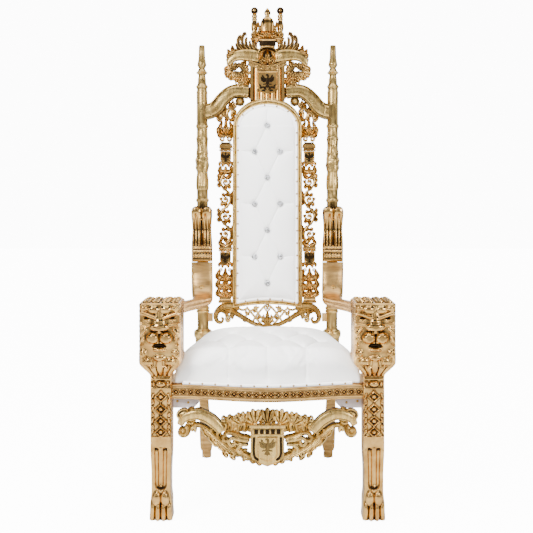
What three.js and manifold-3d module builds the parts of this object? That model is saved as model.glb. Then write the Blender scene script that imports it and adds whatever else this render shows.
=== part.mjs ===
// A carved and gilded high-backed throne with lion's-head arm posts.
// Millimetres, +Z up. The sitter looks along -Y, and left is -X.
import * as THREE from "three";
import { mergeVertices } from "three/addons/utils/BufferGeometryUtils.js";
import Module from "manifold-3d";

const wasm = await Module();
wasm.setup();

// Fits
const clearance = 0.3; // between two pieces that touch
const carvingGap = 1.5; // between two carvings that only come close
const beyond = 100; // reach of a cutting tool in front of the back and behind it

// Seat frame
const railTop = 447;
const railHeight = 47;
const railThickness = 30;
const frontRailEndY = -314; // front face of the front rail, beside the legs
const frontRailBow = 46; // how far its middle stands out beyond its ends
const frontRailDepth = 38; // from front to back beside the legs
const beadCount = 26;
const beadRadius = 10;
const beadHeight = 5;
const cornerBlockWidth = 85;
const cornerBlockHeight = 36;
const cornerBlockDepth = 46;

// Front legs, each carved in one piece with its lion's head
const frontLegX = 350;
const frontLegY = -296;
const legHalfWidth = 36;
const legHalfDepth = 33;
const glideHeight = 5;
const glideRadius = 24;
const rearGlideRadius = 14;
const pawTop = 98;
const pawReach = 14; // how far the toes stand out beyond the leg
const toeCount = 4;
const fluteTop = 243;
const ribRadius = 7;
const diamondBottom = 295;
const diamondTop = 410;
const diamondCount = 4;
const diamondRadius = 21;
const diamondHeight = 9;
const collarZ = 453;
const headBottom = 463;
const headTop = 723;
const headHalfWidth = 70;
const headFrontY = -358; // plane behind the face's relief
const headBackY = -222;

// Rear legs and the posts that stand on them
const postX = 252.8;
const postY = 200;
const rearFootX = 247;
const rearFootY = 313;
const rearLegHalfWidth = 17;
const rearAnkleHalfWidth = 24;
const rearFootHalfWidth = 18;
const rearLegHalfDepth = 19;
const rearAnkleZ = 108;
const rearStepZ = 34;
const sideRailInset = 18; // of the side rail's front end from the middle of the leg

// Back, in its own leaning frame: x across, y backwards, z up along the back from the seat frame
const backLean = THREE.MathUtils.degToRad(4);
const postSplay = THREE.MathUtils.degToRad(0.58);
const postRadius = 22;
const postFootRadius = 30;
const postRingRadius = 36;
const postTop = 1230;
const frameHalfWidth = 138.5;
const frameBar = 16.5;
const frameBottom = 176;
const frameBottomRise = 15;
const archSpring = 896;
const archRise = 118.5;
const archTop = archSpring + archRise;
const archBar = 27;
const frameFrontY = -20;
const frameBackY = 14;
const padCrown = 16; // how far the pad swells out in front of the frame
const padRound = 12; // width of its rounded edge
const buttonRows = 7;
const buttonTopZ = 899;
const buttonPitch = 104;
const buttonSpread = 50.5;
const buttonRadius = 11;
const buttonHeight = 9;
const buttonRecess = 8; // depth of the tuft that a button sits in
const tuftRadius = 22; // to the corners of its diamond

// Pierced side carvings
const stripX = -167;
const stripHalfWidth = 25;
const stripHalfDepth = 8;
const stripPlinth = 30;
const vineBottom = 436;
const vineDrop = 180; // from the spring of the arch to the top of the vine
const vineTop = archSpring - vineDrop;
const vineBays = 4;
const shieldHeight = 60;

// Bottom rail of the back
const lowRailTop = 192;
const lowRailBottom = 100;
const voluteRadius = 36;
const lowRailHalfDepth = 13;
const spacerHalfDepth = 9;
const spacerBottom = 124;
const spacerTop = 157;
const spacerLength = 15;

// Crest
const crestHeight = 366.5;
const crestTop = archTop + crestHeight;
const blockHalfWidth = 66;
const blockBand = 13; // plain band down each side of the block
const crestFrontY = -26;
const crestBackY = 1;
const crestArmFrontY = -22;
const crestArmBackY = 12;
const crestArmRise = 62; // height of the arm's front face
const crestArmSteps = 9;
const crestKnobX = 110;
const crestKnobRadius = 15;
const crestKnobDrop = 13; // of its middle below the top of the arch
const finialX = 52.5;
const finialLead = 11; // how far the finials stand above the crest
const finialTop = crestTop + finialLead;
const finialRadius = 13;
const finialPlinth = 112;

// Arms
const armZ = 672; // middle of the arm behind the head
const armDrop = 8; // how much lower it meets the sweep
const armHalfWidth = 24;
const armHalfHeight = 19;
const sweepRadius = 92;
const plumeHalfWidth = 41;
const plumeHalfThickness = 15;
const plumeRise = 46; // from the top of the sweep to the collar
const plumeCollar = 62; // height of the banded collar below the flutes
const plumeHeight = 214;
const plumeFlutes = 6;
const boltCapRadius = 10;
const boltCapHeight = 8;

// Stretcher between the front legs
const stretcherY = -303;
const stretcherHalfDepth = 12;
const stretcherBottom = 177;
const stretcherTop = 369;

// Cushion
const cushionHeight = 124;
const cushionGap = 4; // to the lions' heads and the posts
const cushionInset = 8; // of its sides from the outside of the side rails
const cushionEdge = 22; // depth of the rounded strip along its front and rear

const gold = new THREE.MeshStandardMaterial({ color: 0xd9a441, roughness: 0.25, metalness: 1 });
const satinGold = new THREE.MeshStandardMaterial({ color: 0xb98a4c, roughness: 0.5, metalness: 0.7 });
const whiteLeather = new THREE.MeshStandardMaterial({ color: 0xf1efea, roughness: 0.45, metalness: 0 });
const crystal = new THREE.MeshStandardMaterial({ color: 0xe8edf2, roughness: 0.05, metalness: 0.2 });
const rawBoard = new THREE.MeshStandardMaterial({ color: 0xb4a8a8, roughness: 0.6, metalness: 0 });
const darkPlastic = new THREE.MeshStandardMaterial({ color: 0x241f1c, roughness: 0.5, metalness: 0 });

// Geometry to solid and back

function solid(geometry) {
  const plain = geometry.clone();
  plain.deleteAttribute("normal");
  plain.deleteAttribute("uv");
  const merged = mergeVertices(plain, 1e-3);
  return new wasm.Manifold(
    new wasm.Mesh({
      numProp: 3,
      vertProperties: merged.attributes.position.array,
      triVerts: new Uint32Array(merged.index.array),
    }),
  );
}

function drawn(manifold) {
  const { vertProperties, triVerts } = manifold.getMesh();
  const geometry = new THREE.BufferGeometry();
  geometry.setAttribute("position", new THREE.BufferAttribute(vertProperties, 3));
  geometry.setIndex(new THREE.BufferAttribute(triVerts, 1));
  geometry.computeVertexNormals();
  return geometry;
}

const join = (...pieces) =>
  drawn(
    pieces
      .flat(Infinity)
      .map(solid)
      .reduce((whole, piece) => whole.add(piece)),
  );

const cut = (geometry, ...tools) =>
  drawn(
    tools
      .flat(Infinity)
      .map(solid)
      .reduce((whole, tool) => whole.subtract(tool), solid(geometry)),
  );

// The mirror image across x = 0 of a joined or cut geometry.
function mirrored(geometry) {
  const image = geometry.clone().scale(-1, 1, 1);
  image.index.array.reverse();
  return image;
}

// Moves each vertex of a geometry to where place() puts it.
function shaped(geometry, place) {
  const position = geometry.attributes.position;
  const v = new THREE.Vector3();
  for (let i = 0; i < position.count; i++) {
    v.fromBufferAttribute(position, i);
    place(v);
    position.setXYZ(i, v.x, v.y, v.z);
  }
  return geometry;
}

const mix = THREE.MathUtils.lerp;
const clamp01 = (x) => THREE.MathUtils.clamp(x, 0, 1);
const smooth = (a, b, x) => THREE.MathUtils.smoothstep(x, a, b);
const bump = (x, z, cx, cz, rx, rz) => Math.exp(-(((x - cx) / rx) ** 2) - ((z - cz) / rz) ** 2);
const counted = (n) => [...Array(n).keys()];
const spread = (n, from, to) => counted(n).map((i) => mix(from, to, i / (n - 1)));

// The values at share t of a table of equally spaced rows.
function along(rows, t) {
  const place = clamp01(t) * (rows.length - 1);
  const k = Math.min(Math.floor(place), rows.length - 2);
  return rows[k].map((value, i) => mix(value, rows[k + 1][i], place - k));
}

// Curves. Points are [x, z] in the plane of a carved board, or [x, z, y].

class Volute extends THREE.Curve {
  // The radius shrinks evenly from outer to inner while the angle runs from start through turn, in degrees.
  constructor([x, z, y = 0], outer, inner, start, turn) {
    super();
    Object.assign(this, { x, y, z, outer, inner });
    this.start = THREE.MathUtils.degToRad(start);
    this.turn = THREE.MathUtils.degToRad(turn);
  }
  getPoint(t, target = new THREE.Vector3()) {
    const angle = this.start + this.turn * t;
    const radius = this.outer * (this.inner / this.outer) ** t;
    return target.set(this.x + radius * Math.cos(angle), this.y, this.z + radius * Math.sin(angle));
  }
}

const through = (...points) =>
  new THREE.CatmullRomCurve3(points.map(([x, z, y = 0]) => new THREE.Vector3(x, y, z)));

// Sections of a carried bar, as points of [across, out] going round from the front.
const ridged = [[0, 1], [1, 0], [-1, 0]];
const housed = [[0, 1], [1, 0.5], [1, 0], [-1, 0], [-1, 0.5]];
const rounded = (sides, power = 1) =>
  counted(sides).map((i) => {
    const angle = (2 * Math.PI * i) / sides;
    return [Math.sin(angle), Math.cos(angle)].map((c) => Math.sign(c) * Math.abs(c) ** power);
  });

// A bar of one section carried along a curve. Half width and depth are numbers, or functions of the
// share t of its length. Its depth stands out to the front, or square to across. A ridged or housed bar
// has a flat back, and a pointed one ends in a point.
function stroke(curve, wide, deep, { steps = 5, section = ridged, across = null, pointed = false } = {}) {
  const halfWidth = typeof wide === "function" ? wide : () => wide;
  const depth = typeof deep === "function" ? deep : () => deep;
  const front = new THREE.Vector3(0, -1, 0);
  const middle = [0, section.reduce((sum, [, out]) => sum + out, 0) / section.length];
  return shaped(new THREE.CylinderGeometry(pointed ? 0 : 1, 1, 1, section.length, steps), (v) => {
    const t = clamp01(v.y + 0.5);
    const turn = Math.round((Math.atan2(v.x, v.z) / (2 * Math.PI)) * section.length);
    const corner = Math.hypot(v.x, v.z) < 0.01 ? middle : section[(turn + section.length) % section.length];
    const tangent = curve.getTangent(t);
    const sideways = across ?? new THREE.Vector3().crossVectors(tangent, front).normalize();
    const out = new THREE.Vector3().crossVectors(sideways, tangent).normalize();
    const place = curve.getPoint(t);
    place.addScaledVector(sideways, corner[0] * halfWidth(t));
    v.copy(place.addScaledVector(out, corner[1] * depth(t)));
  });
}

const tapering = (root, tip) => (t) => mix(root, tip, t);
const leafWidth = (widest) => (t) => widest * Math.sin(Math.PI * (0.14 + 0.8 * t));

// A leaf from its root to its tip, bowed to one side by a share of its length.
function leaf([x0, z0, y = 0], [x1, z1], widest, deep, { bend = 0, steps = 2 } = {}) {
  const middle = [(x0 + x1) / 2 - (z1 - z0) * bend, (z0 + z1) / 2 + (x1 - x0) * bend, y];
  const path = through([x0, z0, y], middle, [x1, z1, y]);
  return stroke(path, leafWidth(widest), tapering(deep, deep * 0.5), { steps, pointed: true });
}

// Several leaves whose roots and tips are spread between two first and two last points.
function spray(count, firstRoot, firstTip, lastRoot, lastTip, widest, deep, settings) {
  const between = (a, b, t) => a.map((value, i) => mix(value, b[i], t));
  return spread(count, 0, 1).map((t) =>
    leaf(between(firstRoot, lastRoot, t), between(firstTip, lastTip, t), widest, deep, settings),
  );
}

const ball = ([x, z, y = 0], rx, ry = rx, rz = rx, sides = 6, levels = 3) =>
  new THREE.SphereGeometry(1, sides, levels).rotateX(Math.PI / 2).scale(rx, ry, rz).translate(x, y, z);

const box = (x0, x1, y0, y1, z0, z1) =>
  new THREE.BoxGeometry(x1 - x0, y1 - y0, z1 - z0).translate((x0 + x1) / 2, (y0 + y1) / 2, (z0 + z1) / 2);

const shapeOf = (outline) => new THREE.Shape(outline.map(([a, b]) => new THREE.Vector2(a, b)));

// A board cut to an outline of [x, z] points, from y0 to y1.
const board = (outline, y0, y1, settings = {}) =>
  new THREE.ExtrudeGeometry(shapeOf(outline), { depth: y1 - y0, bevelEnabled: false, ...settings })
    .rotateX(Math.PI / 2)
    .translate(0, y1, 0);

// A board cut to an outline of [x, y] points, from z0 to z1.
const slab = (outline, z0, z1) =>
  new THREE.ExtrudeGeometry(shapeOf(outline), { depth: z1 - z0, bevelEnabled: false }).translate(0, 0, z0);

// A turned piece from a profile of [radius, z] points, upwards.
const turned = (profile, sides = 10) =>
  new THREE.LatheGeometry(
    [[0, profile[0][1]], ...profile, [0, profile.at(-1)[1]]].map(([r, z]) => new THREE.Vector2(r, z)),
    sides,
  ).rotateX(Math.PI / 2);

// A drawing for a carver: at(u, v) is a point in hundredths of the height, from the middle of the foot.
function drawing(foot, top) {
  const unit = (top - foot) / 100;
  return { unit, at: (u, v, y = 0) => [u * unit, foot + v * unit, y] };
}

// Front legs

const legFrontY = frontLegY - legHalfDepth;
const legBackY = frontLegY + legHalfDepth;

// How far the lion's face stands out, at u across and v up, both in hundredths of the head's height.
function faceRelief(u, v) {
  const pair = (cu, cv, ru, rv, height) => height * bump(Math.abs(u), v, cu, cv, ru, rv);
  const one = (cv, ru, rv, height) => height * bump(u, v, 0, cv, ru, rv);
  const forehead = one(87, 13, 6, 3.5) + pair(8, 85, 5, 3, 3.5);
  const eyes = pair(14, 79, 4.6, 3.1, -3.5);
  const nose = one(75, 6.5, 11.5, 6) + one(69, 9, 3.5, 4);
  const muzzle = one(57, 15, 13, 3.5) + pair(6.5, 56.5, 6, 6, 6.5);
  const jaw = one(44, 6.5, 3, -6) + one(37, 8, 3.5, 5) + one(26.5, 6, 10, 4);
  const mane = pair(19, 46.5, 4, 4.2, 2.3) + pair(20, 94, 5.4, 4.6, 2);
  return forehead + eyes + nose + muzzle + jaw + mane;
}

// The block of the head: its front a relief, its lower end drawn in to the leg.
function lionHead() {
  const columns = 16;
  const levels = 11;
  const frontColumn = 5; // columns -5 to 5 cover the face
  const rearColumn = 7;
  const corner = 12;
  const reliefStart = 30; // height over which the relief begins
  const headHeight = headTop - headBottom;
  const unit = headHeight / 100;
  return shaped(new THREE.CylinderGeometry(1, 1, 1, columns, levels), (v) => {
    const z = mix(headBottom, headTop, clamp01(v.y + 0.5));
    const drawnIn = smooth(headBottom, headBottom + headHeight * 0.24, z);
    const halfWidth = mix(legHalfWidth - 1, headHalfWidth, drawnIn);
    const front = mix(legFrontY - 8, headFrontY, drawnIn);
    const back = mix(legBackY - 1, headBackY, drawnIn);
    if (Math.hypot(v.x, v.z) < 0.5) return v.set(0, (front + back) / 2, z);
    const column = Math.round((Math.atan2(v.x, v.z) / (2 * Math.PI)) * columns);
    const place = Math.abs(column);
    if (place > rearColumn) return v.set(0, back, z);
    const x = (Math.sign(column) * halfWidth * Math.min(place, frontColumn)) / frontColumn;
    if (place > frontColumn) return v.set(x, mix(front + corner, back, (place - frontColumn) / 2), z);
    const edge = smooth(halfWidth - corner, halfWidth, Math.abs(x));
    const start = smooth(headBottom, headBottom + reliefStart, z);
    const relief = unit * faceRelief(x / unit, (z - headBottom) / unit) * start;
    return v.set(x, front + corner * edge - relief * (1 - edge), z);
  });
}

// One toe of a paw, a rounded lobe from the ankle down to the glide.
function toe(index) {
  const across = (2 * index) / (toeCount - 1) - 1;
  const reach = (legHalfDepth + pawReach - 8 * across ** 2) / 2;
  const halfHeight = (pawTop - glideHeight) / 2;
  const width = (1.35 * legHalfWidth) / toeCount + 1;
  const middle = [across * (legHalfWidth - 9), glideHeight + halfHeight, frontLegY - reach];
  return ball(middle, width, reach, halfHeight, 5);
}

const diamond = (x, y, z, radius, height) =>
  new THREE.ConeGeometry(radius, height, 4).rotateZ(Math.PI).translate(x, y - height / 2, z);

function frontLeg() {
  const rows = [
    [glideHeight, 0.9],
    [mix(glideHeight, pawTop, 0.4), 1.03],
    [pawTop, 0.88],
    [fluteTop, 0.95],
    [fluteTop + 30, 1],
    [headBottom + 10, 1],
  ];
  const square = new THREE.CylinderGeometry(Math.SQRT2, Math.SQRT2, 1, 4, rows.length - 1);
  const column = shaped(square.rotateY(Math.PI / 4), (v) => {
    const [z, girth] = along(rows, v.y + 0.5);
    v.set(v.x * legHalfWidth * girth, frontLegY - v.z * legHalfDepth * girth, z);
  });
  const loopRadius = legHalfWidth * 0.55;
  const ribs = [-1, 0, 1].map((side) => {
    const x = side * loopRadius;
    const low = pawTop + (side ? 16 : 36);
    const path = through([x, low, legFrontY + 6], [x, fluteTop, legFrontY + 3]);
    return stroke(path, ribRadius, 11, { steps: 1 });
  });
  const loopPath = new Volute([0, pawTop + 22, legFrontY + 6], loopRadius, loopRadius, 180, 180);
  const loop = stroke(loopPath, ribRadius, 10, { steps: 4 });
  const locks = spread(3, -1, 1).map((side) => {
    const root = [side * legHalfWidth * 0.75, headBottom + 50 - 12 * Math.abs(side), legFrontY - 8];
    return leaf(root, [root[0] * 1.1, headBottom + 2], 11, 16, { steps: 1 });
  });
  const diamonds = spread(diamondCount, diamondBottom, diamondTop).map((z) =>
    diamond(0, legFrontY + 2, z, diamondRadius, diamondHeight),
  );
  const collar = [-1, 0, 1].map((side) => ball([side * 22, collarZ, legFrontY + 2], side ? 8 : 16, 9, 10, 5));
  return join(column, lionHead(), counted(toeCount).map(toe), ribs, loop, diamonds, collar, locks);
}

function glide(radius) {
  const height = glideHeight - clearance;
  const disc = new THREE.CylinderGeometry(radius, radius * 0.9, height, 8);
  return disc.rotateX(Math.PI / 2).translate(0, 0, height / 2);
}

// Rear legs: straight down from the post, then raked back to a stepped foot

const railBottom = railTop - railHeight;

function rearLeg() {
  const rows = [
    // height, share of the way from the foot to the post across and backwards, half width
    [glideHeight, 0, 0, rearFootHalfWidth],
    [rearStepZ - 1, 0.05, 0.07, rearFootHalfWidth],
    [rearStepZ + 1, 0.05, 0.07, rearAnkleHalfWidth - 3],
    [rearStepZ + 14, 0.08, 0.11, rearAnkleHalfWidth],
    [rearAnkleZ, 0.2, 0.3, rearAnkleHalfWidth],
    [mix(rearAnkleZ, railTop, 0.27), 0.4, 0.64, rearLegHalfWidth + 3],
    [mix(rearAnkleZ, railTop, 0.63), 0.7, 0.94, rearLegHalfWidth],
    [railBottom, 1, 1, rearLegHalfWidth],
    [railTop, 1, 1, rearLegHalfWidth],
  ];
  return shaped(new THREE.BoxGeometry(2, 2, 1, 1, 1, rows.length - 1), (v) => {
    const [z, across, backwards, halfWidth] = along(rows, v.z + 0.5);
    const x = -mix(rearFootX, postX, across) + v.x * halfWidth;
    v.set(x, mix(rearFootY, postY, backwards) + v.y * rearLegHalfDepth, z);
  });
}

// Seat frame

const frontRailReach = frontLegX - legHalfWidth - clearance;
const frontRailBackY = frontRailEndY + frontRailDepth;
const bowAt = (x) => frontRailBow * Math.cos((Math.PI / 2) * (x / frontRailReach)) ** 2;

function frontRail() {
  const steps = 14;
  const front = spread(steps + 1, -frontRailReach, frontRailReach).map((x) => [x, frontRailEndY - bowAt(x)]);
  const back = [1, -1].map((side) => [side * frontRailReach, frontRailBackY]);
  const beads = counted(beadCount).map((i) => {
    const x = ((2 * i + 1) / beadCount - 1) * frontRailReach;
    const y = frontRailEndY - bowAt(x) + 2;
    return diamond(x, y, (railTop + railBottom) / 2, beadRadius, beadHeight);
  });
  return join(slab([...front, ...back], railBottom, railTop), beads);
}

const sideRailFrontY = legBackY + clearance;
const sideRailRearY = postY - rearLegHalfDepth - clearance;
const sideRailX = (y) =>
  mix(frontLegX - sideRailInset, postX, (y - sideRailFrontY) / (sideRailRearY - sideRailFrontY));

function sideRail() {
  const half = railThickness / 2;
  const [front, rear] = [sideRailFrontY, sideRailRearY];
  const outline = [
    [-sideRailX(front) - half, front],
    [-sideRailX(front) + half, front],
    [-sideRailX(rear) + half, rear],
    [-sideRailX(rear) - half, rear],
  ];
  return slab(outline, railBottom, railTop);
}

function backRail() {
  const reach = postX - rearLegHalfWidth - clearance;
  return box(-reach, reach, postY - railThickness / 2, postY + railThickness / 2, railBottom, railTop);
}

function cornerBlock() {
  const outer = -frontRailReach;
  const inner = outer + cornerBlockWidth;
  const top = railBottom - clearance;
  const bottom = top - cornerBlockHeight;
  const chamfer = cornerBlockHeight * 0.45;
  const outline = [
    [outer, top],
    [outer, bottom],
    [inner - chamfer, bottom],
    [inner, bottom + chamfer],
    [inner, top],
  ];
  const front = stretcherY + stretcherHalfDepth + carvingGap;
  return board(outline, front, front + cornerBlockDepth);
}

// Stretcher: two broad scrolls that meet in a shield under a crown of leaves

function stretcher() {
  const { unit, at } = drawing(stretcherBottom, stretcherTop);
  const end = frontRailReach / unit; // the leg, in the drawing's hundredths
  const deep = 2 * stretcherHalfDepth;
  const strokes = [
    stroke(new Volute(at(end - 18, 62), 14 * unit, 5 * unit, 60, -330), 4.4 * unit, deep, { steps: 7 }),
    stroke(
      through(at(end - 11, 74), at(end - 23, 84), at(end - 45, 92), at(end - 67, 82), at(end - 89, 62)),
      tapering(6.5 * unit, 9 * unit),
      deep,
      { section: housed },
    ),
    leaf(at(end - 15, 80), at(end - 17, 98), 4.5 * unit, deep * 0.7),
    stroke(
      through(at(end - 32, 60), at(end - 48, 66), at(end - 66, 55), at(end - 92, 36), at(end - 111, 23)),
      tapering(3.6 * unit, 6.2 * unit),
      deep * 0.8,
    ),
    ball(at(end - 31, 58), 7 * unit, deep * 0.8, 7 * unit, 5),
    stroke(through(at(end - 88, 64), at(24, 64)), 4.4 * unit, deep * 0.85, { steps: 1 }),
    spray(3, at(32, 64), at(44, 86), at(end - 96, 66), at(end - 86, 84), 6 * unit, deep * 0.8),
    spray(3, at(32, 18), at(46, 46), at(end - 102, 32), at(end - 94, 58), 7 * unit, deep * 0.8, {
      bend: -0.15,
    }),
    stroke(
      through(at(end - 88, 64), at(end - 98, 38), at(47, 19), at(23, 10), at(0, 4)),
      tapering(6.5 * unit, 4 * unit),
      deep * 0.85,
    ),
    leaf(at(24, 15), at(37, 6), 4.6 * unit, deep * 0.7),
    box((end - 10) * unit, end * unit, -deep * 0.7, 0, at(0, 62)[1], at(0, 78)[1]),
  ];
  const shieldOutline = (grow, drop) =>
    [
      [0, 2],
      [20, 22],
      [27, 38],
      [27, 72],
      [-27, 72],
      [-27, 38],
      [-20, 22],
    ].map(([u, v]) => at(u * grow, (v - 72) * grow + 72 - drop));
  const crown = spread(5, -1, 1).map((lean) =>
    leaf(at(lean * 22, 76), at(lean * 42, 100 - 10 * lean ** 2), 9 * unit, deep),
  );
  const half = join(strokes);
  const whole = join(
    half,
    mirrored(half),
    board(shieldOutline(1, 0), -deep - 4, 0),
    board(shieldOutline(0.6, 16), -deep - 8, -1),
    box(-30 * unit, 30 * unit, -deep - 6, 0, at(0, 70)[1], at(0, 79)[1]),
    crown,
  );
  const behind = box(-frontRailReach, frontRailReach, 0, deep, 0, railTop);
  return cut(whole, behind).translate(0, stretcherY + stretcherHalfDepth, 0);
}

// Arms: a rail from the lion's head that sweeps up the post and ends in a fluted plume

const postXAt = (z) => postX + (z - railTop) * Math.tan(postSplay);
const postFrontY = (z) => postY - postRadius + (z - railTop) * Math.tan(backLean) - 2 * clearance;
const sweepZ = armZ - armDrop;
const sweepTop = sweepZ + sweepRadius;
const plumeBase = sweepTop + plumeRise;
const plumeTop = plumeBase + plumeHeight;
const boltZ = sweepZ + sweepRadius * 0.5;
const boltY = postFrontY(boltZ) - 2 * plumeHalfThickness - sweepRadius * 0.13;

// A point on the post's front at height z, out in front of it.
const onPost = (z, out, x = 0) => [x - postXAt(z), z, postFrontY(z) - out];

function arm() {
  const sweepY = postFrontY(sweepTop) - plumeHalfThickness;
  const eighth = sweepRadius * (1 - Math.SQRT1_2);
  const across = (t) => -mix(frontLegX, postX, t);
  const path = through(
    [-frontLegX, armZ, headBackY + 2 * clearance],
    [across(0.5), armZ - armDrop / 2, mix(headBackY, sweepY - sweepRadius, 0.5)],
    [-postX, sweepZ, sweepY - sweepRadius],
    [-postX, sweepZ + eighth, sweepY - eighth],
    onPost(sweepTop, plumeHalfThickness),
    onPost(plumeBase, plumeHalfThickness),
  );
  const sweepStart = 2 / 5; // share of the path at its third point
  const halfWidth = (t) => mix(armHalfWidth, plumeHalfWidth, smooth(sweepStart, 0.8, t));
  const halfHeight = (t) => mix(armHalfHeight, plumeHalfThickness - 1, smooth(sweepStart, 0.8, t));
  const settings = { steps: 10, section: rounded(8, 0.6), across: new THREE.Vector3(1, 0, 0) };
  const plumePath = through(
    onPost(plumeBase + plumeCollar - 4, plumeHalfThickness),
    onPost(mix(plumeBase, plumeTop, 0.4), plumeHalfThickness),
    onPost(mix(plumeBase, plumeTop, 0.8), plumeHalfThickness + 5),
    onPost(plumeTop, 2 * plumeHalfThickness),
  );
  const fluteEdges = spread(2 * plumeFlutes + 1, -1, 1).map((u, i) => [u, i % 2 ? 1.25 : 0.75]);
  const plumeBack = [[1, -0.9], [-1, -0.9]];
  const fluted = [...fluteEdges.slice(plumeFlutes), ...plumeBack, ...fluteEdges.slice(0, plumeFlutes)];
  const collarTop = plumeBase + plumeCollar;
  const collarOut = plumeHalfThickness * 1.2;
  const collar = through(onPost(plumeBase - 4, collarOut), onPost(collarTop, collarOut));
  const collarSteps = 4; // two bands with a groove between them
  const swelling = (t) => (Math.round(t * collarSteps) % 2 ? 1.1 : 0.95);
  const boltSeat = new THREE.CylinderGeometry(boltCapRadius + 1, boltCapRadius + 1, sweepRadius, 6);
  return cut(
    join(
      stroke(path, halfWidth, halfHeight, settings),
      stroke(collar, (t) => plumeHalfWidth * swelling(t), (t) => plumeHalfThickness * swelling(t), {
        ...settings,
        steps: collarSteps,
      }),
      stroke(plumePath, plumeHalfWidth, plumeHalfThickness, { steps: 3, section: fluted }),
    ),
    boltSeat.translate(-postXAt(boltZ), boltY - sweepRadius / 2, boltZ),
  );
}

function boltCap() {
  const profile = [
    [boltCapRadius, clearance],
    [boltCapRadius, boltCapHeight * 0.5],
    [boltCapRadius * 0.5, boltCapHeight],
  ];
  return turned(profile, 6)
    .rotateX(Math.PI / 2)
    .translate(-postXAt(boltZ), boltY, boltZ);
}

// The back's posts, turned, and the room that one takes up in the pieces that meet it

const postLean = (geometry) => geometry.rotateY(-postSplay).translate(-postX, 0, 0);

function post() {
  const ring = (z, out, half) => [
    [postRadius, z - half],
    [out, z],
    [postRadius, z + half],
  ];
  const profile = [
    [postFootRadius, 0],
    [postFootRadius, 0.05],
    [postRingRadius, 0.063],
    [postFootRadius, 0.076],
    [postRadius, 0.079],
    ...ring(0.138, postRadius + 4, 0.01),
    ...ring(0.49, postRadius + 4, 0.007),
    [postRadius, 0.57],
    [postRadius + 4, 0.61],
    [postRadius - 2, 0.65],
    [postRadius + 3, 0.732],
    [postRadius, 0.745],
    [postRadius, 0.842],
    [postRadius * 0.75, 0.851],
    [postRadius * 1.11, 0.863],
    [postRadius * 0.6, 0.9],
    [postRadius * 1.08, 0.908],
    [postRadius * 0.53, 0.917],
    [postRadius * 0.85, 0.933],
    [postRadius * 0.63, 0.952],
    [postRadius * 0.55, 1],
  ].map(([radius, share]) => [radius, share * postTop]);
  const standing = (v) => {
    if (v.z < 1) v.z = 2 * clearance + v.y * Math.tan(backLean);
  };
  return postLean(shaped(turned(profile, 8), standing));
}

function postCore() {
  const radius = postRadius + clearance;
  const core = new THREE.CylinderGeometry(radius, radius, postTop, 20);
  return postLean(core.rotateX(Math.PI / 2).translate(0, 0, postTop / 2));
}

function spacer() {
  const inner = -postX + postRadius + clearance + spacerLength;
  return cut(box(-postX, inner, -spacerHalfDepth, spacerHalfDepth, spacerBottom, spacerTop), postCore());
}

// The arched frame round the padded panel

function archOutline(inset, bottom, top) {
  const halfWidth = frameHalfWidth - inset;
  const arch = spread(13, 0, Math.PI).map((angle) => [
    halfWidth * Math.cos(angle),
    archSpring + (top - archSpring) * Math.sin(angle),
  ]);
  const foot = spread(5, -1, 1).map((share) => [
    halfWidth * share,
    bottom + frameBottomRise * (1 - share ** 2),
  ]);
  return [...arch, ...foot];
}

const grownFrame = (by) => archOutline(-by, frameBottom - by, archTop + by);
const frameTool = () => board(grownFrame(clearance), -beyond, beyond);

function backFrame() {
  const inner = archOutline(frameBar, frameBottom + frameBar, archTop - archBar);
  return cut(board(grownFrame(0), frameFrontY, frameBackY), board(inner, frameFrontY - 1, frameBackY + 1));
}

const padFrontY = frameFrontY - padCrown;
const buttonY = padFrontY + buttonRecess;
const buttonPlaces = counted(buttonRows).flatMap((row) => {
  const z = buttonTopZ - row * buttonPitch;
  return row % 2 ? [[-buttonSpread, z], [buttonSpread, z]] : [[0, z]];
});

function backPad() {
  const gap = frameBar + clearance;
  const outline = archOutline(gap, frameBottom + gap, archTop - archBar - clearance);
  const bevel = { bevelEnabled: true, bevelThickness: padCrown, bevelSize: padRound, bevelOffset: -padRound };
  const tufts = buttonPlaces.map(([x, z]) =>
    new THREE.CylinderGeometry(tuftRadius * 0.75, tuftRadius, buttonRecess * 2, 4).translate(x, padFrontY, z),
  );
  return cut(board(outline, frameFrontY, frameBackY - padCrown, { ...bevel, bevelSegments: 1 }), tufts);
}

const button = () =>
  new THREE.CylinderGeometry(buttonRadius * 0.45, buttonRadius, buttonHeight, 6)
    .rotateX(Math.PI)
    .translate(0, buttonY - clearance - buttonHeight / 2, 0);

// Pierced carving beside the frame: a plinth of leaves, a shield, a vine, a second shield and a spray

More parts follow.
